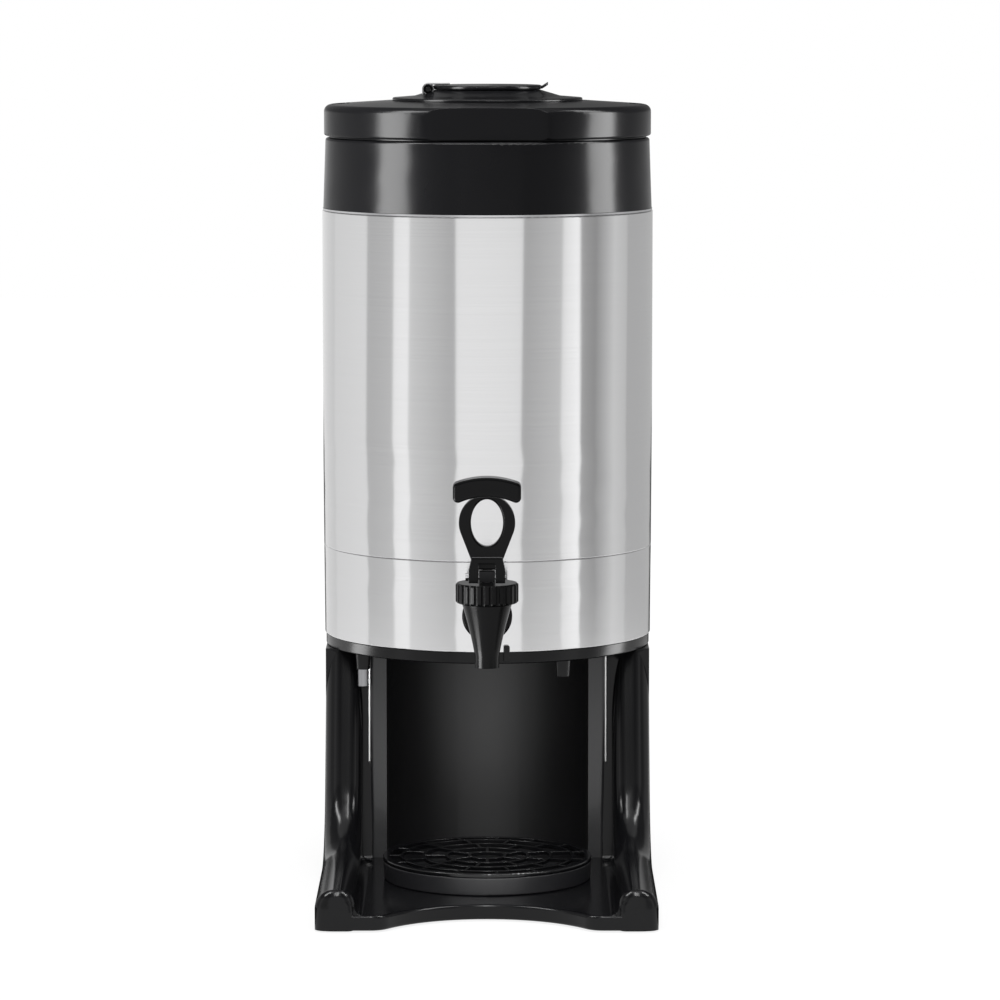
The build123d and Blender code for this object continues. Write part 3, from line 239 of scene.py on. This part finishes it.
def panel_drum():
    """Upright drum of panels: a point at angle a from the camera and height z lies at
    (away sin a, -away cos a, z). Its light level runs evenly across its panel, times the share
    left at its height."""
    start, stop, first, last = np.array(PANELS, dtype=float).T[..., None, None]
    share = np.linspace(0, 1, PANEL_STEPS)[None, :, None]
    angles = np.radians(start + (stop - start) * share)
    fades = np.where(np.abs(angles) > radians(BACK_FROM), BACK_FADES, PANEL_FADES)
    levels = (first + (last - first) * share) * fades
    angles, heights = np.broadcast_arrays(angles, np.array(PANEL_HEIGHTS))
    places = np.stack([AXIS_X + PANEL_AWAY * np.sin(angles),
                       AXIS_Y - PANEL_AWAY * np.cos(angles), heights], axis=-1)
    number = np.arange(levels.size).reshape(levels.shape)
    faces = np.stack([number[:, :-1, :-1], number[:, 1:, :-1],
                      number[:, 1:, 1:], number[:, :-1, 1:]], axis=-1)
    mesh = bpy.data.meshes.new("studio_panels")
    mesh.from_pydata(places.reshape(-1, 3).tolist(), [], faces.reshape(-1, 4).tolist())
    level = mesh.attributes.new("level", "FLOAT", "POINT")
    level.data.foreach_set("value", levels.ravel().astype(np.float32))
    return mesh


def only_mirrored(item):
    """Hides an object from everything but reflections."""
    item.visible_camera = False
    item.visible_diffuse = False
    item.visible_shadow = False
    item.visible_transmission = False


panel_paint = bpy.data.materials.new("studio_panels")
tree, add = new_tree(panel_paint)
level = add("ShaderNodeAttribute", attribute_name="level")
light = add("ShaderNodeEmission")
tree.links.new(level.outputs["Fac"], light.inputs["Strength"])
show(tree, add, light)

panels = new_object("studio_panels", panel_drum())
panels.data.materials.append(panel_paint)
only_mirrored(panels)
print("panels:", len(PANELS), "faces:", len(panels.data.polygons))

# %% [markdown]
# ## Dark cards
# At a low angle black plastic mirrors the pale floor beside it and turns grey. A photographer lays
# dark cards there. These two lie along the stand's sides, and only reflections see them.

# %% Lay the dark cards
CARD_COLOR = (0.01, 0.01, 0.01, 1)
CARD_GAP, CARD_REACH = 2 * MM, 0.24     # beside the stand
CARD_FROM, CARD_TO = 0.02, 1.10         # behind the stand's front
CARD_RISE = 0.2 * MM                    # above the floor

card_paint = bpy.data.materials.new("dark_card")
tree, add = new_tree(card_paint)
show(tree, add, add("ShaderNodeBsdfDiffuse", Color=CARD_COLOR))
front, back = STAND_LOW[1] + CARD_FROM, STAND_LOW[1] + CARD_TO
for name, edge, side in (("left_card", STAND_LOW[0], -1), ("right_card", STAND_HIGH[0], 1)):
    near, far = edge + side * CARD_GAP, edge + side * CARD_REACH
    spots = ((near, front), (far, front), (far, back), (near, back))
    card = sheet(name, [(*spot, CARD_RISE) for spot in spots], card_paint)
    only_mirrored(card)
print("dark cards reach", CARD_REACH, "m out from the stand")

# %% [markdown]
# ## Lamps
# Black plastic shows a highlight only where it mirrors a lamp, so each highlight has a soft lamp of
# its own. Most lamps light one group of black pieces, and leave the bands on the steel as the
# panels make them. One wide lamp, above and in front, lights everything.

# %% Hang the lamps
LAMPS = {
    # name: (degrees right of the camera, away, height, width, length, watts, group that it lights)
    "left_lid_lamp": (-65.5, 0.9, 0.45, 0.36, 0.7, 36, "lid"),
    "right_lid_lamp": (83, 0.9, 0.45, 0.36, 0.7, 29, "lid"),
    "left_rim_lamp": (-65.5, 0.75, 1.05, 0.26, 0.6, 19, "lid"),
    "right_rim_lamp": (83, 0.75, 1.05, 0.24, 0.6, 12, "lid"),
    "lid_top_lamp": (0, 0.6, 1.3, 1.2, 0.2, 34, "lid"),
    "left_faucet_lamp": (-46, 0.9, 0.35, 0.22, 0.6, 3, "faucet"),
    "right_faucet_lamp": (100, 0.9, 0.35, 0.22, 0.6, 1, "faucet"),
    "nozzle_lamp": (-52, 0.42, 0.03, 0.20, 0.4, 5, "faucet"),
    "left_ring_lamp": (-97, 0.9, 0.20, 0.26, 0.4, 3.2, "ring"),
    "right_ring_lamp": (97, 0.9, 0.20, 0.26, 0.4, 3.6, "ring"),
    "left_high_lamp": (-62, 0.75, 1.1, 0.16, 0.9, 9, "stand"),
    "right_high_lamp": (62, 0.75, 1.1, 0.16, 0.9, 9, "stand"),
    "ridge_lamp": (0, 0.75, 1.2, 0.12, 1.0, 7, "stand"),
    "bay_lamp": (2, 0.30, -0.005, 0.50, 0.06, 0.47, "bay"),
    "tray_lamp": (2, 0.34, 0.02, 0.46, 0.08, 0.55, "tray"),
    "left_edge_lamp": (-125, 0.9, 0.09, 0.45, 0.16, 19, "edges"),
    "right_edge_lamp": (125, 0.9, 0.09, 0.45, 0.16, 11.5, "edges"),
    "front_lamp": (0, 2.0, 2.2, 1.2, 0.8, 16, None),
}
LAMP_GROUPS = {
    # group: the slots or nodes in it
    "lid": ("lid_black",),
    "faucet": ("faucet_black",),
    "ring": ("support_ring", "bottom_cover"),
    "stand": ("stand_black", "drip_grille"),
    "bay": ("alcove_panel",),
    "tray": ("drip_tray",),
    "edges": ("alcove_panel",),
}
SHADOWED_BY_OWN = ("bay", "tray", "edges")      # only their own pieces stop these groups' lamps
AIM_HEIGHT = 0.3
LAMP_AIM = Vector((AXIS_X, AXIS_Y, AIM_HEIGHT))
LIT_BY = {group: bpy.data.collections.new(f"{group}_pieces") for group in LAMP_GROUPS}
for name, (angle, away, height, width, length, watts, group) in LAMPS.items():
    data = bpy.data.lights.new(name, "AREA")
    data.shape = "RECTANGLE"
    data.size = width
    data.size_y = length
    data.energy = watts
    lamp = new_object(name, data)
    a = radians(angle)
    lamp.location = (AXIS_X + away * sin(a), AXIS_Y - away * cos(a), height)
    lamp.rotation_euler = (LAMP_AIM - lamp.location).to_track_quat("-Z", "Y").to_euler()
    if group:
        lamp.light_linking.receiver_collection = LIT_BY[group]
    if group in SHADOWED_BY_OWN:
        lamp.light_linking.blocker_collection = LIT_BY[group]
    lamp.visible_camera = False
print("lamps:", list(LAMPS))

# %% [markdown]
# ## Shared effects
# No real surface is perfectly even. One group gives every finish its slow unevenness and fine
# grain, another gives the steel its brushing, as lines that run round the vessel, and a third
# softens the look of edges.

# %% Build the shared surface groups
CLOUD_SCALE, CLOUD_DETAIL = 14.0, 3.0
GRAIN_SCALE, GRAIN_DETAIL = 900.0, 2.0
LINE_SCALE, LINE_DETAIL = 2600.0, 3.0       # across the brushed lines
RUN_SCALE = 9.0                             # along them
EDGE_RADIUS, EDGE_SAMPLES = 0.4 * MM, 6


def new_group(name, inputs, outputs, kind="NodeSocketFloat"):
    """A shader group with value inputs and outputs of one kind: the group, the function that adds
    nodes to it, and its input and output nodes."""
    group = bpy.data.node_groups.new(name, "ShaderNodeTree")
    for label, default in inputs:
        socket = group.interface.new_socket(label, in_out="INPUT", socket_type="NodeSocketFloat")
        socket.default_value = default
    for label in outputs:
        group.interface.new_socket(label, in_out="OUTPUT", socket_type=kind)
    add = node_adder(group)
    return group, add, add("NodeGroupInput"), add("NodeGroupOutput")


def grain_group():
    """Unevenness: a slow cloud and a fine grain, both read from Object coordinates."""
    group, add, given, result = new_group(
        "surface_grain", [("Cloud Scale", CLOUD_SCALE), ("Grain Scale", GRAIN_SCALE)],
        ["Cloud", "Grain"])
    place = add("ShaderNodeTexCoord")
    for label, detail in (("Cloud", CLOUD_DETAIL), ("Grain", GRAIN_DETAIL)):
        noise = add("ShaderNodeTexNoise", Detail=detail)
        group.links.new(place.outputs["Object"], noise.inputs["Vector"])
        group.links.new(given.outputs[f"{label} Scale"], noise.inputs["Scale"])
        group.links.new(noise.outputs["Fac"], result.inputs[label])
    return group


def soft_edge_group():
    """Softened edges: the normal that an edge rounded by the given radius would have."""
    group, add, given, result = new_group(
        "soft_edge", [("Radius", EDGE_RADIUS)], ["Normal"], "NodeSocketVector")
    bevel = add("ShaderNodeBevel", samples=EDGE_SAMPLES)
    group.links.new(given.outputs["Radius"], bevel.inputs["Radius"])
    group.links.new(bevel.outputs["Normal"], result.inputs["Normal"])
    return group


def brushing_group():
    """Brushing: noise squeezed along Z, so that each line runs round the upright vessel."""
    group, add, given, result = new_group(
        "round_brushing", [("Line Scale", LINE_SCALE), ("Run Scale", RUN_SCALE)], ["Lines"])
    place = add("ShaderNodeTexCoord")
    parts = add("ShaderNodeSeparateXYZ")
    group.links.new(place.outputs["Object"], parts.inputs[0])
    joined = add("ShaderNodeCombineXYZ")
    for axis, scale in (("X", "Run Scale"), ("Y", "Run Scale"), ("Z", "Line Scale")):
        times = add("ShaderNodeMath", operation="MULTIPLY")
        group.links.new(parts.outputs[axis], times.inputs[0])
        group.links.new(given.outputs[scale], times.inputs[1])
        group.links.new(times.outputs[0], joined.inputs[axis])
    noise = add("ShaderNodeTexNoise", Scale=1.0, Detail=LINE_DETAIL)
    group.links.new(joined.outputs[0], noise.inputs["Vector"])
    group.links.new(noise.outputs["Fac"], result.inputs["Lines"])
    return group


GRAIN = grain_group()
BRUSHING = brushing_group()
SOFT_EDGE = soft_edge_group()
print("groups:", GRAIN.name, BRUSHING.name, SOFT_EDGE.name)

# %% [markdown]
# ## Plastic, rubber and steel
# Each finish is one Principled shader. The cloud moves its colour and roughness a little, and the
# grain lifts a fine bump, stronger on satin plastic than on gloss. On the steel the brushed lines
# take the grain's place.

# %% Mix the finishes
BRUSH_PULL, BRUSH_TURN = 0.85, 0.25         # how far reflections stretch, and their quarter turn
BUMP_DISTANCE = 0.05 * MM


def finish(name, color, rough, metal=0.0, bump=0.0, specular=0.5, brushed=False, vary=0.15,
           edge=0.0):
    """A finish: color and rough are its middle values, vary is the cloud's share of change, bump
    is the grain's strength, and edge is the radius that its edges look rounded to."""
    paint = bpy.data.materials.new(name)
    tree, add = new_tree(paint)
    shader = add("ShaderNodeBsdfPrincipled", Metallic=metal, Specular_IOR_Level=specular)
    surface = add("ShaderNodeGroup", node_tree=GRAIN)
    height, streak = surface.outputs["Grain"], surface.outputs["Cloud"]
    if brushed:
        lines = add("ShaderNodeGroup", node_tree=BRUSHING)
        height = streak = lines.outputs["Lines"]
    dark = (*[c * (1 - vary) for c in color], 1)
    pale = (*[min(1, c * (1 + vary)) for c in color], 1)
    tint = add("ShaderNodeMix", data_type="RGBA", A=dark, B=pale)
    tree.links.new(streak, tint.inputs["Factor"])
    tree.links.new(tint.outputs["Result"], shader.inputs["Base Color"])
    level = add("ShaderNodeMapRange", To_Min=rough * (1 - vary), To_Max=rough * (1 + vary))
    tree.links.new(surface.outputs["Cloud"], level.inputs["Value"])
    tree.links.new(level.outputs[0], shader.inputs["Roughness"])
    if brushed:
        shader.inputs["Anisotropic"].default_value = BRUSH_PULL
        shader.inputs["Anisotropic Rotation"].default_value = BRUSH_TURN
        round_it = add("ShaderNodeTangent", direction_type="RADIAL", axis="Z")
        tree.links.new(round_it.outputs[0], shader.inputs["Tangent"])
    if bump:
        lift = add("ShaderNodeBump", Strength=bump, Distance=BUMP_DISTANCE)
        tree.links.new(height, lift.inputs["Height"])
        if edge:
            soft = add("ShaderNodeGroup", node_tree=SOFT_EDGE, Radius=edge)
            tree.links.new(soft.outputs["Normal"], lift.inputs["Normal"])
        tree.links.new(lift.outputs[0], shader.inputs["Normal"])
    show(tree, add, shader)
    return paint


SLOT_FINISHES = {
    # slot: (colour, roughness, other settings)
    "stand_black": ((0.003, 0.003, 0.0035), 0.17, dict(bump=0.05, specular=0.24, edge=0.8 * MM)),
    "satin_black": ((0.004, 0.004, 0.0045), 0.22, dict(bump=0.10, specular=0.25, edge=0.5 * MM)),
    "lid_black": ((0.0018, 0.0018, 0.002), 0.20, dict(bump=0.1, specular=0.07, edge=0.8 * MM)),
    "faucet_black": ((0.002, 0.002, 0.0022), 0.22, dict(bump=0.1, specular=0.13, edge=0.4 * MM)),
    "rubber": ((0.012, 0.012, 0.012), 0.62, dict(bump=0.4, specular=0.3)),
    "steel_brushed": ((0.74, 0.74, 0.745), 0.15,
                      dict(metal=1.0, bump=0.03, brushed=True, vary=0.05, edge=0.5 * MM)),
    "steel_plain": ((0.66, 0.66, 0.67), 0.26, dict(metal=1.0, bump=0.06)),
}
NODE_FINISHES = {
    # node with a finish of its own: (name, colour, roughness, other settings)
    "alcove_panel": ("alcove_black", (0.003, 0.003, 0.0035), 0.42, dict(bump=0.1)),
    "drip_tray": ("tray_black", (0.005, 0.005, 0.006), 0.40, dict(bump=0.1, edge=0.5 * MM)),
    "drip_grille": ("grille_black", (0.003, 0.003, 0.0035), 0.16, dict(bump=0.05, edge=0.6 * MM)),
    "bonnet": ("bonnet_black", (0.002, 0.002, 0.0022), 0.32,
               dict(bump=0.1, specular=0.13, edge=0.2 * MM)),
    "locking_stud": ("stud_steel", (0.36, 0.36, 0.37), 0.36, dict(metal=1.0, bump=0.1)),
    "hinge_pin": ("pin_black", (0.030, 0.030, 0.031), 0.34,
                  dict(metal=0.6, bump=0.1, specular=0.2)),
    "lift_stem": ("stem_black", (0.020, 0.020, 0.021), 0.34,
                  dict(metal=0.6, bump=0.1, specular=0.2, edge=0.3 * MM)),
}
FINISHES = {slot: finish(slot, color, rough, **more)
            for slot, (color, rough, more) in SLOT_FINISHES.items()}
OWN_FINISH = {node: finish(name, color, rough, **more)
              for node, (name, color, rough, more) in NODE_FINISHES.items()}
FLANGE_FINISH = finish("flange_black", (0.005, 0.005, 0.006), 0.38, bump=0.05)
NOT_MIRRORED = ("lever", "lever_pin")       # the steel seen through the lever stays clear of these
print("finishes:", list(FINISHES))

# %% [markdown]
# ## Domed toes
# The rails end in toes, rounded in front like a thumb. The solid's toes have a flat front with a
# rounded rim. Before the stand's skin is made, planes cut that front into a grid, and each point
# moves straight back by a dome: nothing in the middle, most at the rim. A rail has the same section
# all along, so a point that moves along it stays on its surface.

# %% Work out the toes' dome
TOE_WIDE = 26.0 * MM
TOE_TOP = 27.5 * MM         # above the stand's underside
TOE_RISE = 16.5 * MM        # the toe's top above the deck
TOE_DEEP = 12.0 * MM        # the dome's pull has faded this far behind the front
TOE_DOME = 7.0 * MM         # the pull where side and top meet, and half of it along either
TOE_INNER = 2.0             # how fast the pull at the inner side grows from the deck up
TOE_CUTS = 13
LOWEST_CUT = 0.04           # share of the toe's height
CUT_GAP = 0.01 * MM
TOE_FRONT = STAND_LOW[1]
TOE_MIDDLE = (STAND_HIGH[0] - STAND_LOW[0] - TOE_WIDE) / 2


def cut_toes(shape):
    """Cuts the toes' fronts into a grid, by planes evenly spaced across each toe and up it."""
    across = TOE_MIDDLE + TOE_WIDE * (np.linspace(0, 1, TOE_CUTS) - 0.5)
    upward = STAND_LOW[2] + TOE_TOP * np.linspace(LOWEST_CUT, 1, TOE_CUTS)
    planes = [((AXIS_X + x, 0, 0), (1, 0, 0)) for x in (*across, *-across)]
    planes += [((0, 0, z), (0, 0, 1)) for z in upward]
    for place, normal in planes:
        centres = ((face, face.calc_center_median()) for face in shape.faces)
        faces = {face for face, centre in centres if centre.y < TOE_FRONT + TOE_DEEP
                 and abs(centre.x - AXIS_X) > TOE_MIDDLE - TOE_WIDE / 2}
        edges = {edge for face in faces for edge in face.edges}
        points = {point for face in faces for point in face.verts}
        bmesh.ops.bisect_plane(shape, geom=[*points, *edges, *faces], dist=CUT_GAP,
                               plane_co=place, plane_no=normal)


def dome_toes(mesh):
    """Domed fronts: with u and v a point's share of the way from the toe's middle to its side and
    from the deck to its top, it moves back by dome (u u + v v) / 2 (1 - depth / deep). On the inner
    side, where the deck joins, u counts more and more from the deck up."""
    places = np.empty(3 * len(mesh.vertices), dtype=np.float32)
    mesh.vertices.foreach_get("co", places)
    x, y, z = places.reshape(-1, 3).T
    u = np.clip((np.abs(x - AXIS_X) - TOE_MIDDLE) / (TOE_WIDE / 2), -1, 1)
    v = np.clip((z - STAND_LOW[2] - TOE_TOP + TOE_RISE) / TOE_RISE, 0, 1)
    bend = np.where(u > 0, u, u * np.clip(TOE_INNER * v, 0, 1)) ** 2 + v ** 2
    fade = np.clip(1 - (y - TOE_FRONT) / TOE_DEEP, 0, 1)
    y += np.where(u > -1, TOE_DOME * bend / 2 * fade, 0)
    mesh.vertices.foreach_set("co", places)


print("toes:", round(TOE_WIDE / MM, 1), "mm wide, domed by", round(TOE_DOME / MM, 1), "mm")

# %% [markdown]
# ## Smooth skins
# The solids arrive as flat triangles. A merged copy of each, shaded smooth with its real edges kept
# sharp, reads as a moulding or a drawn sheet. The copy stands for the solid and rides on its body.

# %% Make the smooth skins
SHARP_ANGLE = radians(28)
MERGE_GAP = 0.002 * MM
EVEN_WEIGHT = 100
ALCOVE_LOW, ALCOVE_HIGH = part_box("alcove_panel")
FLANGE_WIDE = 12.0 * MM
FLANGE_FROM = ALCOVE_HIGH[0] - AXIS_X - FLANGE_WIDE


def smooth_skin(node):
    """A merged, smooth-shaded copy of a solid, with edges sharper than the angle kept."""
    mesh = NODES[node].data.copy()
    shape = bmesh.new()
    shape.from_mesh(mesh)
    bmesh.ops.remove_doubles(shape, verts=shape.verts, dist=MERGE_GAP)
    if node == "stand_moulding":
        cut_toes(shape)
    shape.to_mesh(mesh)
    shape.free()
    if node == "stand_moulding":
        dome_toes(mesh)
    if "custom_normal" in mesh.attributes:
        mesh.attributes.remove(mesh.attributes["custom_normal"])
    mesh.shade_smooth()
    mesh.set_sharp_from_angle(angle=SHARP_ANGLE)
    mesh.materials.clear()
    mesh.materials.append(OWN_FINISH.get(node, FINISHES[SLOT_OF[node]]))
    skin = new_object(f"{node}_skin", mesh)
    even = skin.modifiers.new("even_normals", "WEIGHTED_NORMAL")
    even.mode = "FACE_AREA"
    even.weight = EVEN_WEIGHT
    even.keep_sharp = True
    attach(skin, BODY_OF[node])
    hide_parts(node)
    kinds = {node, SLOT_OF[node]}
    for group, members in LAMP_GROUPS.items():
        if kinds & set(members):
            LIT_BY[group].objects.link(skin)
    skin.visible_glossy = not kinds & set(NOT_MIRRORED)
    return skin


def gloss_flange(skin):
    """The flange's faces, which lie outside the round back, take the flange's finish."""
    mesh = skin.data
    mesh.materials.append(FLANGE_FINISH)
    centres = np.empty(3 * len(mesh.polygons), dtype=np.float32)
    mesh.polygons.foreach_get("center", centres)
    centres = centres.reshape(-1, 3)
    beyond = np.hypot(centres[:, 0] - AXIS_X, centres[:, 1] - ALCOVE_LOW[1]) > FLANGE_FROM
    mesh.polygons.foreach_set("material_index", beyond.astype(np.int32))


skins = {node: smooth_skin(node) for node in NODES if node != "flap_spring"}
gloss_flange(skins["alcove_panel"])
print("skins:", len(skins), "faces:", sum(len(skin.data.polygons) for skin in skins.values()))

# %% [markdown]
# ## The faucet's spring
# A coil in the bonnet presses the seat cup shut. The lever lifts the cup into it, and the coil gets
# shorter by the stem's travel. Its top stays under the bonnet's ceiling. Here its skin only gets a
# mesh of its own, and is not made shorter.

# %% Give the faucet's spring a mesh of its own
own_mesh(skins["stem_spring"])

# %% [markdown]
# ## The flap's spring
# A torsion spring shuts the flap: a coil on the hinge pin, one leg down on the lid and one arm over
# the flap. A real coil winds up as the flap turns. Here the arm and the first turn ride on the flap
# and the other turns on the lid, so that the cut lies in the coil, where a turn about the hinge
# leaves its look as it was. Both are tubes: a circle carried along a path.

# %% Wind the flap's spring
WIRE_R = 0.6 * MM
COIL_TURNS = 3.25
COIL_PITCH = 1.75 * MM
WIRE_SIDES = 12
TURN_STEPS = 40
SPRING_LOW, SPRING_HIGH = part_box("flap_spring")
PIN_LOW, PIN_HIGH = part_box("hinge_pin")
HINGE_X = (PIN_LOW[0] + PIN_HIGH[0]) / 2
HINGE_Z = (PIN_LOW[2] + PIN_HIGH[2]) / 2
COIL_R = SPRING_HIGH[2] - WIRE_R - HINGE_Z
COIL_Y = SPRING_HIGH[1] - WIRE_R


def tube(name, path, radius):
    """Tube with closed ends: at each path point a circle of the radius lies across the heading t,
    as radius (cos a (t x Y) + sin a (t x Y) x t), and a point closes each end."""
    heading = np.gradient(path, axis=0)
    heading /= np.linalg.norm(heading, axis=1, keepdims=True)
    across = np.cross(heading, (0.0, 1.0, 0.0))
    across /= np.linalg.norm(across, axis=1, keepdims=True)
    up = np.cross(across, heading)
    a = np.linspace(0, 2 * pi, WIRE_SIDES, endpoint=False)[None, :, None]
    circle = np.cos(a) * across[:, None, :] + np.sin(a) * up[:, None, :]
    rings = path[:, None, :] + radius * circle
    count = len(path) * WIRE_SIDES
    number = np.arange(count).reshape(len(path), WIRE_SIDES)
    after = np.roll(number, -1, axis=1)
    walls = np.stack([number[:-1], number[1:], after[1:], after[:-1]], axis=-1).reshape(-1, 4)
    first = np.stack([np.full(WIRE_SIDES, count), number[0], after[0]], axis=-1)
    last = np.stack([np.full(WIRE_SIDES, count + 1), after[-1], number[-1]], axis=-1)
    places = np.vstack([rings.reshape(-1, 3), path[:1], path[-1:]])
    mesh = bpy.data.meshes.new(name)
    mesh.from_pydata(places.tolist(), [], walls.tolist() + first.tolist() + last.tolist())
    return mesh


def coil(start, end):
    """Coil about the hinge: after s turns its point lies s turns from the top and s pitches on."""
    turns = np.linspace(start, end, int(TURN_STEPS * (end - start)) + 1)
    a = 2 * pi * turns
    return np.stack([HINGE_X - COIL_R * np.sin(a), COIL_Y - COIL_PITCH * turns,
                     HINGE_Z + COIL_R * np.cos(a)], axis=-1)


def add_piece(name, mesh, node, body):
    """A new piece in a node's slot and finish, with its faces turned outwards, on a body."""
    mesh.validate()
    shape = bmesh.new()
    shape.from_mesh(mesh)
    bmesh.ops.recalc_face_normals(shape, faces=shape.faces)
    shape.to_mesh(mesh)
    shape.free()
    mesh.shade_smooth()
    mesh.set_sharp_from_angle(angle=SHARP_ANGLE)
    mesh.materials.append(FINISHES[SLOT_OF[node]])
    piece = new_object(name, mesh)
    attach(piece, body)
    return piece


arm_end = np.array([[SPRING_HIGH[0], COIL_Y, HINGE_Z + COIL_R]])
foot_end = coil(COIL_TURNS, COIL_TURNS) * (1, 1, 0) + (0, 0, SPRING_LOW[2])
for name, path, body in (
        ("flap_spring_arm", np.vstack([arm_end, coil(0, 1)]), BODY_OF["fill_flap"]),
        ("flap_spring_coil", np.vstack([coil(1, COIL_TURNS), foot_end]), BODY_OF["lid_cap"])):
    piece = add_piece(name, tube(name, path, WIRE_R), "flap_spring", body)
    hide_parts("flap_spring")
print("flap spring: coil radius", round(COIL_R / MM, 2), "mm,", COIL_TURNS, "turns")

# %% [markdown]
# ## The web in the lever's fork
# The lever's fork is closed above the stem's tongue, so that no daylight shows through it. The web
# is a rounded bar carried across the slot. Its lower face lies just past the circle that the
# tongue's top fills about the pin, so the lever can swing.

# %% Close the fork
SLOT_HALF = 5.7 * MM
WEB_FROM, WEB_TO = 5.1 * MM, 10.3 * MM      # above the lever's pin
WEB_HALF_DEPTH = 4.0 * MM
WEB_ROUND = 4.0                             # power of the rounded section
WEB_STEPS = 48


def bent(wave):
    """A sine or cosine bent by the power: its size to the power 2/p, with its sign."""
    return np.sign(wave) * np.abs(wave) ** (2 / WEB_ROUND)


def web_mesh():
    """Bar across the slot: its section is |y/b|^p + |z/h|^p = 1, carried from side to side."""
    a = np.linspace(0, 2 * pi, WEB_STEPS, endpoint=False)
    low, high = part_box("lever_pin")
    middle_y = (low[1] + high[1]) / 2
    pin_z = (low[2] + high[2]) / 2
    y = middle_y + WEB_HALF_DEPTH * bent(np.cos(a))
    z = pin_z + (WEB_FROM + WEB_TO) / 2 + (WEB_TO - WEB_FROM) / 2 * bent(np.sin(a))
    sides = [np.stack([np.full(WEB_STEPS, AXIS_X + x), y, z], axis=-1)
             for x in (-SLOT_HALF, SLOT_HALF)]
    number = np.arange(WEB_STEPS)
    after = np.roll(number, -1)
    walls = np.stack([number, number + WEB_STEPS, after + WEB_STEPS, after], axis=-1)
    mesh = bpy.data.meshes.new("fork_web")
    mesh.from_pydata(np.vstack(sides).tolist(), [],
                     walls.tolist() + [number[::-1].tolist(), (number + WEB_STEPS).tolist()])
    return mesh


web = add_piece("fork_web", web_mesh(), "lever", BODY_OF["lever"])
LIT_BY["faucet"].objects.link(web)
print("fork web:", len(web.data.polygons), "faces")
